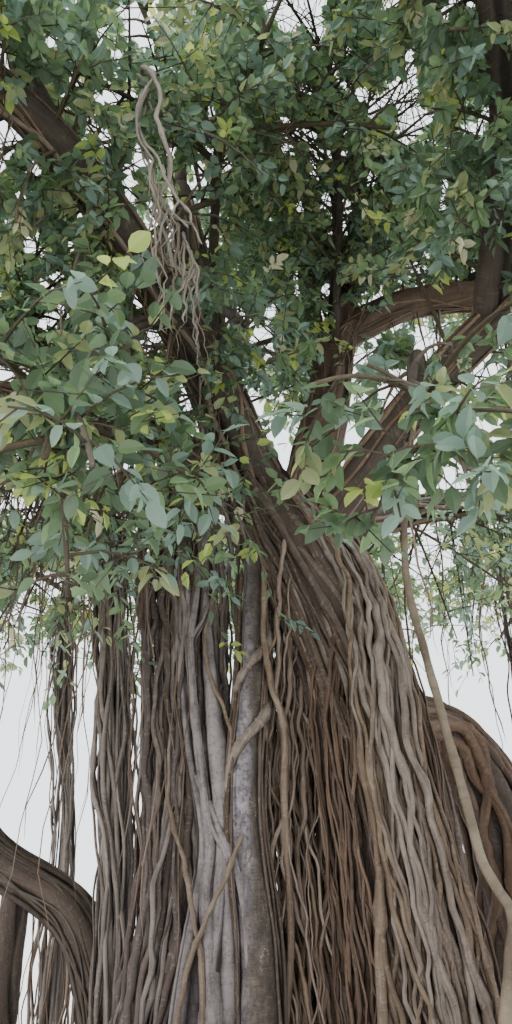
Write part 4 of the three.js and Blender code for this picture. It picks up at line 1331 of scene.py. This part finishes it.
def build_pillar_and_column():
    """The pillar with its roots, the left column, and the curtains between pillar and trunk."""
    slim_roots = joined([winding_roots(), pillar_companions(), lone_roots()])
    add_piece("pillar_bark", pillar_skin(), PALE_BARK, ["pale_pillar"])
    add_piece("pillar_roots", slim_roots, ROOT_BARK)
    add_piece("column_stems", column_stems(), STEM_BARK, ["left_root_column"])
    add_piece("column_strands", column_roots(), COLUMN_BARK)
    add_piece("curtain_strands", curtain_roots(), CURTAIN_BARK, ["hanging_roots_middle"])
    add_piece("loose_curtain_strands", loose_curtain(), CURTAIN_BARK)


def build_side_limbs():
    """The right trunk, the slanting prop with its foot, and the winding root in front."""
    right = fluted_limb(
        **RIGHT_TRUNK, sides=80, steps=180, seed=17, lobes=4, lobe_depth=0.1, turn=3, roots=8, relief=0.2
    )
    right_roots = limb_roots(**RIGHT_TRUNK, count=38, seed=5000, thickness=(0.01, 0.05), sides=7, steps=80)
    add_piece("right_trunk_bark", right, BARK, ["right_trunk"])
    add_piece("right_trunk_roots", right_roots, DARK_ROOT_BARK)
    prop = fluted_limb(
        **PROP, sides=56, steps=220, seed=19, lobes=3, lobe_depth=0.12, turn=4, roots=6, relief=0.2
    )
    prop_roots = limb_roots(**PROP, count=36, seed=5100, thickness=(0.005, 0.022), steps=110)
    add_piece("slanting_prop_bark", prop, BARK, ["slanting_prop"])
    add_piece("slanting_prop_roots", prop_roots, BOUGH_BARK)
    foot = fluted_limb(
        **PROP_FOOT, sides=60, steps=120, seed=23, lobes=3, lobe_depth=0.1, turn=1, roots=6, relief=0.22
    )
    add_piece("slanting_prop_foot_bark", foot, BARK, ["slanting_prop_foot"])
    slimmer = [SINUOUS_SHARE * radius for radius in SINUOUS["radii"]]
    sinuous = fluted_limb(
        SINUOUS["points"], slimmer, sides=16, steps=380, seed=29, roots=2, relief=0.08, grain=0.16
    )
    add_piece("sinuous_root_bark", sinuous, TAN_BARK, ["sinuous_root"])


def build_boughs():
    """The boughs and the leafy limbs on them."""
    for i, (name, (points, radii)) in enumerate({**BOUGHS, **RISERS}.items()):
        sides, steps = (44, 110) if radii[0] > MAIN_BOUGH else (26, 64)
        bough = fluted_limb(points, radii, sides, steps, 100 + i, roots=7, relief=0.16, tone=0.4)
        bark = RED_BARK if name in RED_BOUGHS else BOUGH_BARK
        add_piece(f"{name}_bark", bough, bark, [name] if name in BOUGHS else [])


def build_hanging_roots():
    """The ropes of roots, and the roots that cling to the boughs or hang from them."""
    for i, (name, (points, radii, count)) in enumerate(ROPES.items()):
        rope = rope_roots(points, radii, count, 6000 + 100 * i)
        add_piece(f"{name}_strands", rope, ROPE_BARK, [name])
    main = [bough for bough in BOUGHS.values() if bough[1][0] > MAIN_BOUGH]
    clinging = [
        limb_roots(*bough, 12, 7000 + 50 * i, thickness=(0.006, 0.022), span=(0.0, 0.9))
        for i, bough in enumerate(main)
    ]
    add_piece("bough_roots", joined(clinging), CURTAIN_BARK)
    hanging = [
        dangling_roots(*BOUGHS[name], count, 8000 + 100 * i, longest)
        for i, (name, (count, longest)) in enumerate(TUFTS.items())
    ]
    hanging.append(dangling_roots(**PROP, count=60, seed=8950, longest=2.2, span=(0.4, 0.82)))
    add_piece("dangling_roots", joined(hanging), CURTAIN_BARK)


build_trunk()
build_pillar_and_column()
build_side_limbs()
build_boughs()
build_hanging_roots()

# Foliage: each mass grows from its bough's tip by the rule of the part's source, then on to finer twigs

FOLIAGE = {  # the bough that carries each mass, and the middle and half sizes of its space
    "foliage_top": ("bough_leader", (-1.75, 0.3, 9.2), (2.2, 2.2, 1.35)),
    "foliage_upper_front_left": ("bough_upper_front_left", (-3.3, -2.3, 7.7), (2.1, 2.1, 1.5)),
    "foliage_upper_left": ("bough_upper_left", (-4.1, 1.2, 7.8), (2.1, 2.1, 1.5)),
    "foliage_upper_back": ("bough_upper_back", (-1.1, 3.1, 8.0), (2.3, 2.2, 1.5)),
    "foliage_upper_right": ("bough_upper_right", (2.2, 1.0, 8.0), (2.3, 2.4, 1.5)),
    "foliage_upper_front": ("bough_upper_front", (0.1, -2.8, 7.9), (2.2, 2.1, 1.5)),
    "foliage_left": ("bough_left", (-5.3, -0.6, 5.1), (2.2, 2.3, 1.9)),
    "foliage_front_left": ("bough_front_left", (-4.1, -3.9, 5.1), (2.3, 2.3, 1.9)),
    "foliage_back_left": ("bough_back_left", (-4.4, 3.6, 5.1), (2.3, 2.3, 1.9)),
    "foliage_back": ("bough_back", (-0.5, 5.0, 5.2), (2.4, 2.2, 1.9)),
    "foliage_back_right": ("bough_back_right", (3.1, 3.7, 5.1), (2.3, 2.3, 1.9)),
    "foliage_right": ("bough_right", (4.8, 0.0, 5.3), (2.2, 2.4, 1.9)),
    "foliage_front_right": ("bough_front_right", (3.1, -3.7, 5.1), (2.3, 2.3, 1.9)),
    "foliage_front": ("bough_front", (-0.5, -5.1, 5.8), (2.3, 2.0, 1.5)),
    "foliage_inner": ("bough_inner", (-1.25, -1.6, 6.2), (1.7, 1.25, 1.1)),
    "foliage_low_left": ("bough_low_left", (-1.85, -2.35, 3.2), (1.1, 0.95, 0.8)),
    "foliage_low_right": ("bough_low_right", (-0.3, -2.65, 3.15), (0.85, 0.8, 0.65)),
}
UPPER_MASSES = 6  # how many masses at the start of FOLIAGE are high in the crown
NEAR_MASSES = ("foliage_low_left", "foliage_low_right")
MASS_COUNTS = (10, 9, 8)  # second branches to a first, third to a second, and leaves to each of these
OPEN_COUNTS = {  # the same for the masses that are thinner, seen from below
    "foliage_inner": (9, 9, 6), "foliage_top": (10, 9, 7), "foliage_upper_back": (8, 7, 6),
    "foliage_upper_left": (8, 7, 6), "foliage_upper_right": (9, 7, 7), "foliage_low_left": (5, 5, 6),
    "foliage_low_right": (5, 5, 7),
}
SHOOT_COUNTS = (8, 3, 6)  # the same on a shoot
MASS_TOPS = {"foliage_low_right": 3.32}  # metres up, where a mass is kept lower to show the bough behind
LENGTH_SHARES = (0.72, 1.25)  # a leaf's length lies between these, times the one given for its mass
WIDTH_SHARES = (0.48, 0.62)  # its width over its length
LEAF = 0.108  # the length given for most masses, in metres
NEAR_LEAF = 0.105  # on the two masses near the camera
SMALL_LEAF = 0.088  # on the inner mass and on the shoots
LEAVES_BEGIN = 0.1  # the share of a twig where its leaves begin
EYE = np.array([-1.0, -5.0, 1.6])  # where the photograph was taken from
# What the leaves leave in sight from there: a place on it, the opening's radius in metres, and its start as
# a share of the line to that place
OPENINGS = [
    ((-1.72, 0.0, 7.1), 0.36, 0.64), ((-0.1, 0.32, 6.2), 0.2, 0.3), ((0.45, 0.3, 6.4), 0.22, 0.3),
    ((0.95, 0.22, 6.4), 0.22, 0.3), ((-2.3, -1.88, 5.95), 0.15, 0.5),
]
THIN_PLACES = [  # where the crown has more gaps: the line of sight, its reach in radians, and how much more
    ((-0.29, 0.66, 0.91), 0.09, 0.14), ((0.19, 0.84, 0.55), 0.08, 0.3), ((-0.03, 0.77, 0.69), 0.05, 0.1),
    ((0.16, 0.66, 0.93), 0.22, 0.05),
]
GAP_SHARE = 0.08  # the share of gaps between the leaves elsewhere
GAP_NOISES = ((0.6, 0.017, 7), (0.5, 0.045, 8))  # height, size in radians and seed
GAP_LEVEL = 0.45  # the noise above which a gap opens where their share is 0
GAP_FALL = 1.2  # how much lower that level is where their share is 1
BRANCHES = 7  # in each mass, as in the source
BRANCH_REACH = (0.62, 0.72)  # where a branch ends, over the half sizes of its mass's space
BRANCH_FOOT = (0.4, 0.95)  # where a branch starts, along the stem
BRANCH_ARCH = 0.09  # how high a branch bends up, over its length
CELL_GAP = 0.025  # how far a mass stays inside its own space
LIMB_CLEARANCE = 0.07  # how far twigs stay from limbs
SPACE_MARGIN = 0.45  # how far twigs may pass the box of the CAD mass, so that the masses meet
SPACE_GROWTH = 1.28  # how far they may pass the ellipsoid of its space
LOW_MARGIN = 0.05  # how far twigs of the low masses may pass that box; they keep inside their ellipsoid
ROUNDED_BOX = 2.6  # the power that rounds that box; with 2 it would be an ellipsoid
CROWN_MARGIN = 0.12  # how far leaves may pass the CAD part's box
SECOND_SPACE = 0.46  # the space that the second branches on one first branch fill, over the mass's own
THIRD_SPACE = 0.23  # the same for third ones on a second
NEAR_THIRD_SPACE = 0.34  # and in the masses near the camera
SHOOT_SPACES = (0.42, 0.25)  # the same for both on a shoot, over the longest shoot of its bough

MIDDLES = np.array([middle for _, middle, _ in FOLIAGE.values()])
HALVES = np.array([half for _, _, half in FOLIAGE.values()])
SIZES = HALVES.mean(axis=1)


def limb_samples():
    """Centres and radii along every limb, for keeping twigs clear of them."""
    t = np.linspace(0, 1, 70)
    shapes = [(limb["points"], limb["radii"]) for limb in (TRUNK, PILLAR, RIGHT_TRUNK, PROP, SINUOUS)]
    shapes += [(COLUMN["points"], COLUMN["half_width"]), (CURTAIN["points"], CURTAIN["half_width"])]
    shapes += list(BOUGHS.values()) + [(points, radii) for points, radii, _ in ROPES.values()]
    centres = np.concatenate([path_at(points, t) for points, _ in shapes])
    radii = np.concatenate([mix_of(radii, t) for _, radii in shapes])
    return centres, radii


LIMB_CENTRES, LIMB_RADII = limb_samples()


def clear_of_limbs(places, margin=LIMB_CLEARANCE):
    """True where a place is outside every limb by that margin."""
    apart = np.linalg.norm(places[:, None, :] - LIMB_CENTRES[None], axis=-1) - LIMB_RADII
    return apart.min(axis=1) > margin


def inside_space(mass, places):
    """True where a place lies in the mass's ellipsoid, on its side of the plane to every other mass, and in
    the rounded box that its solid reaches, with the margins given above."""
    name = list(FOLIAGE)[mass]
    low, high = (np.array(corner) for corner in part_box(name))
    low_mass = name.startswith("foliage_low")
    middle, half = (low + high) / 2, (high - low) / 2 + (LOW_MARGIN if low_mass else SPACE_MARGIN)
    inside = (np.abs((places - middle) / half) ** ROUNDED_BOX).sum(-1) < 1
    growth = 1.0 if low_mass else SPACE_GROWTH
    inside &= (((places - MIDDLES[mass]) / HALVES[mass] / growth) ** 2).sum(-1) < 1
    for other in range(len(MIDDLES)):
        if other == mass:
            continue
        way = MIDDLES[other] - MIDDLES[mass]
        apart = np.linalg.norm(way)
        share = 0.5 + (SIZES[mass] ** 2 - SIZES[other] ** 2) / (2 * apart**2)
        inside &= (places - MIDDLES[mass]) @ way / apart < share * apart - CELL_GAP
    return inside


def even_ways(count, turn):
    """Directions spread evenly over a sphere: level steps from top to bottom and a golden angle round for
    each."""
    k = np.arange(count)
    level = 1 - 2 * (k + 0.5) / count
    turned = GOLDEN_ANGLE * k + turn
    round_here = np.sqrt(1 - level**2)
    return np.stack([round_here * np.cos(turned), round_here * np.sin(turned), level], axis=-1)


def first_branches(mass, seed, tip):
    """The branches of a mass as the source grows them: start on the stem, arched middle and end."""
    k = np.arange(BRANCHES)
    ways = even_ways(BRANCHES, 2 * np.pi * chance(seed, 0))
    reach = between(*BRANCH_REACH, chance(seed, k + 1))
    ends = ways * HALVES[mass] * reach[:, None] + MIDDLES[mass]
    feet = between(*BRANCH_FOOT, chance(seed, k + 11))[:, None]
    starts = tip + (MIDDLES[mass] - tip) * feet
    bends = (starts + ends) / 2
    bends[:, 2] += BRANCH_ARCH * np.linalg.norm(ends - starts, axis=1)
    return np.stack([starts, bends, ends], axis=1)


def on_branch(branches, t):
    """The place at share t on each branch: the curve that leaves its start, is drawn to its bend and ends
    at its end."""
    start, bend, end = (branches[..., i, :] for i in range(3))
    t = np.asarray(t)[..., None]
    drawn = 2 * bend - (start + end) / 2
    return (1 - t) ** 2 * start + 2 * t * (1 - t) * drawn + t**2 * end


def offshoots(may_grow, parents, count, half, seed, shares=(1.0, 0.6)):
    """The same rule a size smaller: from each parent, branches head for even shares of the surface of a
    small space round its outer part. One that would leave the mass's space or touch a limb is shortened or
    skipped."""
    n = len(parents)
    k = np.arange(count)
    own = seed + np.arange(n)[:, None] * 1.37
    ways = np.stack([even_ways(count, 2 * np.pi * turn) for turn in chance(own[:, 0], 0)])
    centres = on_branch(parents, np.full(n, 0.72))
    reach = between(0.7, 1.0, chance(own, k + 1))
    ends = centres[:, None] + ways * half * reach[..., None]
    heading = unit(parents[:, 2] - parents[:, 1])
    forward = (ways * heading[:, None]).sum(-1)
    feet = np.clip(0.58 + 0.36 * forward + between(-0.1, 0.1, chance(own, k + 30)), 0.12, 0.98)
    starts = on_branch(parents[:, None], feet)
    tried = []
    for share in shares:
        tips = starts + (ends - starts) * share
        bends = (starts + tips) / 2
        bends[..., 2] += 1.4 * BRANCH_ARCH * np.linalg.norm(tips - starts, axis=-1)
        tried.append(np.stack([starts, bends, tips], axis=2).reshape(-1, 3, 3))
    fits = [may_grow(branches[:, 2]) & clear_of_limbs(branches[:, 1]) for branches in tried]
    chosen = np.where(fits[0][:, None, None], tried[0], tried[1])
    return chosen[fits[0] | fits[1]]


def branch_skin(branches, thick, thin, steps, sides, seed):
    """Branches as tapering tubes along their curves."""
    t = np.linspace(0, 1, steps)
    centres = np.stack([on_branch(branches, np.full(len(branches), share)) for share in t], axis=1)
    radii = np.broadcast_to(between(thick, thin, t), centres.shape[:2])
    tone = chance(np.arange(len(branches)) + seed, 3)
    return skin_over(rings(centres, radii, sides), tone[:, None, None], 0.1)


# The shares of a leaf's length and half width at the points of its outline, for far leaves and near ones
LEAF_OUTLINE = [(0.0, 0.0), (0.3, 0.94), (0.68, 0.8), (1.0, 0.0)]
FINE_OUTLINE = [(0.0, 0.0), (0.1, 0.06), (0.24, 0.72), (0.46, 1.0), (0.7, 0.83), (0.88, 0.42), (1.0, 0.0)]
FOLD = 0.34  # how far a leaf's edges rise, over its half width


def near_leaf_faces(share, half):
    """Four- and three-cornered faces of a leaf whose left edge, midrib and right edge are points in that
    order, and the places of these points on the leaf's map."""
    count = len(share)
    inner = count - 2
    i = np.arange(inner - 1)
    near_left, near_middle, near_right = i, inner + 1 + i, inner + count + i
    quads = np.concatenate(
        [
            np.stack([near_left, near_middle, near_middle + 1, near_left + 1], axis=-1),
            np.stack([near_middle, near_right, near_right + 1, near_middle + 1], axis=-1),
        ]
    )
    first, last = inner, inner + count - 1
    tris = np.array(
        [
            [first, first + 1, 0], [first, inner + count, first + 1],
            [inner - 1, last - 1, last], [last - 1, 2 * inner + count - 1, last],
        ]
    )
    u = np.concatenate([0.5 - half[1:-1] / 2, 0.5 + 0 * half, 0.5 + half[1:-1] / 2])
    v = np.concatenate([share[1:-1], share, share[1:-1]])
    return [quads, tris], np.stack([u, v], axis=-1)


def far_leaf_faces(share, half):
    """The same for a leaf of two four-cornered halves, which has no points on its midrib but the ends."""
    count = len(share)
    quads = np.array([[0, count - 1, count - 2, count - 3], [0, count, count + 1, count - 1]])
    u = np.concatenate([0.5 - half / 2, 0.5 + half[1:-1] / 2])
    v = np.concatenate([share, share[1:-1]])
    return [quads], np.stack([u, v], axis=-1)


def leaves(roots, ways, ups, lengths, widths, curl, outline, with_midrib):
    """Leaves as folded blades. A point at share s of the length and side w is root + way * s + side * w,
    lifted by the fold towards its edges and lowered by curl * s squared. Far ones have two four-cornered
    halves that share the midrib's ends, and near ones a row of faces either side of the midrib."""
    side = unit(np.cross(ways, ups))
    flat = np.cross(side, ways)
    share, half = np.array(outline).T

    def place(s, w):
        along = (s * lengths[:, None])[..., None] * ways[:, None]
        across = (w * widths[:, None] / 2)[..., None] * side[:, None]
        lift = FOLD * np.abs(w) * widths[:, None] / 2 - curl[:, None] * s**2 * lengths[:, None]
        return roots[:, None] + along + across + lift[..., None] * flat[:, None]

    left, right = place(share, -half), place(share, half)
    if with_midrib:
        places = np.concatenate([left[:, 1:-1], place(share, 0 * half), right[:, 1:-1]], axis=1)
        kinds, map_places = near_leaf_faces(share, half)
    else:
        places = np.concatenate([left, right[:, 1:-1]], axis=1)
        kinds, map_places = far_leaf_faces(share, half)
    count, points_each = places.shape[:2]
    first = (np.arange(count) * points_each)[:, None, None]
    faces = [(first + kind).reshape(-1, kind.shape[1]) for kind in kinds]
    corners = [np.broadcast_to(map_places[kind], (count, *kind.shape, 2)) for kind in kinds]
    zero = np.zeros(count * points_each)
    return Skin(places.reshape(-1, 3), faces, corners, zero, zero)


def sprays(twigs, count, seed, length):
    """The leaves of twigs: each twig carries count of them, a golden angle apart round it, that lean
    outwards and hang a little, with their faces turned upwards. Returns what leaves() needs, a row of it
    for each twig."""
    n = len(twigs)
    k = np.arange(count)
    own = seed + np.arange(n)[:, None] * 0.731
    t = between(LEAVES_BEGIN, 1.0, (k + 0.5) / count)[None] + between(-0.03, 0.03, chance(own, k + 2))
    t = np.clip(t, 0, 1)
    roots = on_branch(twigs[:, None], t)
    heading = unit(twigs[:, 2] - twigs[:, 1])[:, None]
    turned = GOLDEN_ANGLE * k[None] + 2 * np.pi * chance(own, 1) + between(-0.5, 0.5, chance(own, k + 70))
    across, up = side_and_top(heading, [0.02, 0.03, 1.0])
    sideways = np.cos(turned)[..., None] * across + 0.6 * np.sin(turned)[..., None] * up
    lean = between(0.35, 1.0, chance(own, k + 110))[..., None]
    sag = [0, 0, -0.25] * (0.4 + chance(own, k + 9))[..., None]
    ways = unit(lean * heading + sideways + sag)
    tilts = [between(-0.75, 0.75, chance(own, k + 130 + i)) for i in range(2)]
    ups, _ = square_to(ways, np.stack([*tilts, np.ones((n, count))], axis=-1))
    lengths = length * between(*LENGTH_SHARES, chance(own, k + 150))
    widths = lengths * between(*WIDTH_SHARES, chance(own, k + 170))
    curl = between(0.02, 0.3, chance(own, k + 190))
    return roots, ways, ups, lengths, widths, curl


# Colours of the face and of its veins, roughness, and the share of twigs that carry the kind
LEAF_KINDS = {
    "leaves_deep": ((0.066, 0.1, 0.068), (0.11, 0.15, 0.1), 0.34, 0.28),
    "leaves_green": ((0.1, 0.15, 0.088), (0.15, 0.2, 0.115), 0.3, 0.26),
    # blue-green leaves: painted reflection of the sky's sheen on glossy leaves
    "leaves_painted_sky_sheen": ((0.115, 0.168, 0.158), (0.165, 0.215, 0.2), 0.26, 0.24),
    "leaves_olive": ((0.165, 0.185, 0.104), (0.22, 0.24, 0.145), 0.34, 0.145),
    # bright yellow-green leaves: painted glow of leaves lit through from behind
    "leaves_painted_backlit": ((0.25, 0.36, 0.1), (0.33, 0.44, 0.15), 0.4, 0.04),
    # cream leaves: painted sun glints on glossy leaves
    "leaves_painted_sunlit": ((0.36, 0.33, 0.23), (0.45, 0.41, 0.3), 0.5, 0.035),
}


def deal(twig_count, seed):
    """The kind of leaf that each twig carries, dealt out by chance in the shares of LEAF_KINDS."""
    drawn = chance(np.arange(twig_count) + seed, 5)
    ends = np.cumsum([share for *_, share in LEAF_KINDS.values()])
    return np.minimum(np.searchsorted(ends, drawn), len(LEAF_KINDS) - 1)


def in_crown(places):
    """True where a place is no further out than the CAD part's box and a small margin."""
    low, high = (np.array(corner) for corner in CAD_BOX)
    return ((places > low - CROWN_MARGIN) & (places < high + CROWN_MARGIN)).all(axis=-1)


def outside_openings(places):
    """True where a place is off the line of every opening by more than its radius."""
    outside = np.ones(len(places), bool)
    for seen, radius, start in OPENINGS:
        line = seen - EYE
        share = np.clip((places - EYE) @ line / (line @ line), start, 0.97)
        outside &= np.linalg.norm(places - EYE - share[..., None] * line, axis=-1) > radius
    return outside


def outside_gaps(places):
    """True where a place is off the small gaps between the leaves: two sizes of noise over the direction
    from the eye, cut at a height that follows the share of gaps there."""
    sight = unit(places - EYE)
    share = GAP_SHARE
    for line, reach, more in THIN_PLACES:
        apart = np.linalg.norm(sight - unit(np.array(line)), axis=-1)
        share = share + more * np.exp(-((apart / reach) ** 2))
    gaps = sum(height * noise(sight, size, seed) for height, size, seed in GAP_NOISES)
    return gaps < GAP_LEVEL - GAP_FALL * share


def free_to_grow(places):
    """True where a place is clear of the limbs, within the crown and outside the openings."""
    return clear_of_limbs(places) & in_crown(places) & outside_openings(places)


def two_generations(may_grow, parents, counts, halves, seeds):
    """The second branches that grow from parents, and those third ones from them that cross no gap."""
    seconds = offshoots(may_grow, parents, counts[0], halves[0], seeds[0])
    thirds = offshoots(may_grow, seconds, counts[1], halves[1], seeds[1])
    return seconds, thirds[outside_gaps(thirds[:, 1]) & outside_gaps(thirds[:, 2])]


def dress(twigs, leaf_count, seed, length, near):
    """The leaf skins of twigs, one for each kind of leaf."""
    kinds = deal(len(twigs), seed * 17)
    outline = FINE_OUTLINE if near else LEAF_OUTLINE
    dealt = []
    for kind in range(len(LEAF_KINDS)):
        parts = sprays(twigs[kinds == kind], leaf_count, seed * 31 + kind, length)
        roots, ways, ups, lengths, widths, curl = (part.reshape(-1, *part.shape[2:]) for part in parts)
        keep = in_crown(roots + ways * lengths[:, None]) & outside_gaps(roots + ways * lengths[:, None] / 2)
        chosen = (part[keep] for part in (roots, ways, ups, lengths, widths, curl))
        dealt.append(leaves(*chosen, outline, near))
    return dealt


def grow_mass(mass, seed):
    """One mass: the stem, the source's branches, and two more generations of them, with leaves on the
    last."""
    name = list(FOLIAGE)[mass]
    points, radii = BOUGHS[FOLIAGE[name][0]]
    tip = np.array(points[-1], float)
    near = name in NEAR_MASSES
    half = HALVES[mass]
    stem_thick = min(0.032 * SIZES[mass], radii[-1] * 0.9)
    branch_thick = min(0.02 * SIZES[mass], 0.8 * stem_thick)
    stem = np.stack([tip, (tip + MIDDLES[mass]) / 2 + [0, 0, 0.03], MIDDLES[mass]])[None]
    firsts = np.concatenate([first_branches(mass, seed, tip), stem])
    *counts, leaf_count = OPEN_COUNTS.get(name, MASS_COUNTS)
    halves = (half * SECOND_SPACE, half * (NEAR_THIRD_SPACE if near else THIRD_SPACE))

    def may_grow(places):
        below_top = places[:, 2] < MASS_TOPS.get(name, np.inf)
        return inside_space(mass, places) & free_to_grow(places) & below_top

    seconds, thirds = two_generations(may_grow, firsts, counts, halves, (seed + 20, seed + 40))
    wood = [
        branch_skin(stem, stem_thick, branch_thick, steps=8, sides=8, seed=seed),
        branch_skin(firsts[:-1], branch_thick, 0.5 * branch_thick, steps=8, sides=6, seed=seed + 1),
        branch_skin(seconds, max(0.45 * branch_thick, 0.006), 0.004, steps=4, sides=4, seed=seed + 2),
        branch_skin(thirds, 0.0045, 0.0022, steps=2, sides=3, seed=seed + 3),
    ]
    length = NEAR_LEAF if near else SMALL_LEAF if name == "foliage_inner" else LEAF
    return wood, dress(np.concatenate([thirds, seconds]), leaf_count, seed, length, near)


# Leafy shoots on the boughs themselves: how many each bough carries, how long the longest is in metres, how
# much they hang, and the share of the bough where they begin
SHOOTS = {
    "bough_leader": (18, 1.8, 0.1, 0.22), "bough_right_rise": (24, 1.4, -0.8, 0.3),
    "bough_right": (20, 1.4, -1.2, 0.15), "bough_left": (38, 1.9, 1.5, 0.12),
    "bough_front_left": (54, 0.85, 0.45, 0.2), "bough_back_left": (18, 1.4, 0.9, 0.22),
    "bough_back": (24, 1.7, 1.3, 0.22), "bough_back_right": (26, 1.7, 1.3, 0.22),
    "bough_front_right": (24, 0.9, 0.3, 0.3), "bough_front": (40, 0.75, 0.1, 0.02),
    "bough_upper_front_left": (10, 1.1, 0.1, 0.22), "bough_upper_left": (10, 1.3, 0.1, 0.22),
    "bough_upper_back": (10, 1.3, 0.1, 0.22), "bough_upper_right": (16, 1.7, 0.0, 0.22),
    "bough_upper_front": (26, 1.2, 0.3, 0.22), "riser": (52, 1.7, 0.0, 0.1),
    "low_riser": (44, 1.25, -0.25, 0.1), "left_riser": (26, 0.95, 0.1, 0.1),
    "bough_low_right": (9, 0.34, -0.3, 0.05),
}


def grow_shoots(bough, count, longest, hang, begin, seed):
    """Shoots that leave a bough a golden angle apart, lean towards its tip and hang, with two generations
    of twigs and leaves by the same rule."""
    points, _ = {**BOUGHS, **RISERS}[bough]
    k = np.arange(count)
    along = between(begin, 0.98, (k + 0.5) / count)
    feet = path_at(points, along)
    way = unit(path_at(points, along + 0.01) - path_at(points, along - 0.01))
    across, up = side_and_top(way, [0.01, 0.02, 1.0])
    angle = GOLDEN_ANGLE * k + 2 * np.pi * chance(seed, 0)
    aside = np.cos(angle)[:, None] * across + np.sin(angle)[:, None] * up
    ways = unit(aside + 0.45 * way - [0, 0, hang])
    ends = feet + ways * (longest * between(0.5, 1.0, chance(seed, k + 3)))[:, None]
    bends = (feet + ends) / 2 + [0, 0, 0.06]
    shoots = np.stack([feet, bends, ends], axis=1)
    *counts, leaf_count = SHOOT_COUNTS
    halves = [share * longest * np.ones(3) for share in SHOOT_SPACES]
    shoots = shoots[free_to_grow(shoots[:, 2])]
    seconds, thirds = two_generations(free_to_grow, shoots, counts, halves, (seed + 10, seed + 30))
    wood = [
        branch_skin(shoots, 0.014, 0.006, steps=6, sides=5, seed=seed),
        branch_skin(seconds, 0.0055, 0.003, steps=3, sides=3, seed=seed + 1),
        branch_skin(thirds, 0.0042, 0.002, steps=2, sides=3, seed=seed + 2),
    ]
    return wood, dress(np.concatenate([thirds, seconds]), leaf_count, seed, SMALL_LEAF, False)


def build_foliage():
    """All masses and shoots. Twigs are joined in three pieces, and the leaves of each kind too."""
    names = list(FOLIAGE)
    wood, dealt = [], []
    for mass in range(len(names)):
        skins, leaf_skins = grow_mass(mass, mass + 1)
        wood.append(joined(skins))
        dealt.append(leaf_skins)
    for i, (bough, habit) in enumerate(SHOOTS.items()):
        skins, leaf_skins = grow_shoots(bough, *habit, 60 + i)
        wood.append(joined(skins))
        dealt.append(leaf_skins)
    parts = {
        "upper": slice(0, UPPER_MASSES),
        "lower": slice(UPPER_MASSES, len(names)),
        "shoots": slice(len(names), None),
    }
    for label, part in parts.items():
        add_piece(f"twigs_{label}", joined(wood[part]), TWIG_BARK, names[part])
    for kind, (name, (face, veins, roughness, _)) in enumerate(LEAF_KINDS.items()):
        material = leaf_finish(name, face, veins, roughness)
        for label, part in parts.items():
            skin = joined([leaf_skins[kind] for leaf_skins in dealt[part]])
            add_piece(f"{name}_{label}", skin, material, smooth=False)


def build_tangle():
    """The tangled pale roots, which hang from the end of the inner mass's first branch."""
    inner = list(FOLIAGE).index("foliage_inner")
    tip = np.array(BOUGHS["bough_inner"][0][-1])
    top = first_branches(inner, inner + 1, tip)[0, 2]
    add_piece("tangled_roots", tangled_roots(tuple(top)), TANGLE_BARK)


build_foliage()
build_tangle()

# Stage: a plain pale floor, soft studio light and the camera at the photograph's viewing angle

FLOOR_REACH = 60.0
STUDIO_COLOUR = (0.93, 0.96, 1.0)
STUDIO_STRENGTH = 2.6
LAMPS = {  # degrees round from the front, degrees up, strength, degrees of softness and colour
    "key": (-52, 17, 1.9, 30, (1.0, 0.97, 0.93)),
    "fill": (12, 7, 0.9, 50, (0.95, 0.97, 1.0)),
    "top": (150, 55, 2.8, 25, (1.0, 0.98, 0.92)),
}
VIEW_UP = 27  # degrees that the camera looks up
SENSOR = 36  # its long side, in millimetres
FOCAL_SHARE = 769 / 1024  # its focal length over that side


def build_stage():
    """The floor, and even light from all round."""
    corners = [(FLOOR_REACH * x, FLOOR_REACH * y, 0) for x, y in ((-1, -1), (1, -1), (1, 1), (-1, 1))]
    mesh = bpy.data.meshes.new("floor")
    mesh.from_pydata(corners, [], [(0, 1, 2, 3)])
    mesh.materials.append(floor_finish())
    floor = bpy.data.objects.new("floor", mesh)
    bpy.context.scene.collection.objects.link(floor)
    world = bpy.data.worlds.new("studio")
    world.use_nodes = True
    background = world.node_tree.nodes["Background"]
    background.inputs["Color"].default_value = (*STUDIO_COLOUR, 1.0)
    background.inputs["Strength"].default_value = STUDIO_STRENGTH
    bpy.context.scene.world = world


def build_lights():
    """The soft lamps, each from far away."""
    for name, (round_from_front, up, strength, softness, colour) in LAMPS.items():
        light = bpy.data.lights.new(name, "SUN")
        light.energy = strength
        light.angle = math.radians(softness)
        light.color = colour
        lamp = bpy.data.objects.new(name, light)
        lamp.rotation_euler = (math.radians(90 - up), 0, math.radians(round_from_front))
        bpy.context.scene.collection.objects.link(lamp)


def build_camera():
    """The photograph's viewpoint, 1.6 m up and 5 m in front of the trunk, looking up at VIEW_UP."""
    camera = bpy.data.cameras.new("camera")
    camera.sensor_width = SENSOR
    camera.lens = SENSOR * FOCAL_SHARE
    camera.clip_start = 0.05
    viewpoint = bpy.data.objects.new("camera", camera)
    viewpoint.location = EYE
    viewpoint.rotation_euler = (math.radians(90 + VIEW_UP), 0, 0)
    bpy.context.scene.collection.objects.link(viewpoint)
    bpy.context.scene.camera = viewpoint


build_stage()
build_lights()
build_camera()
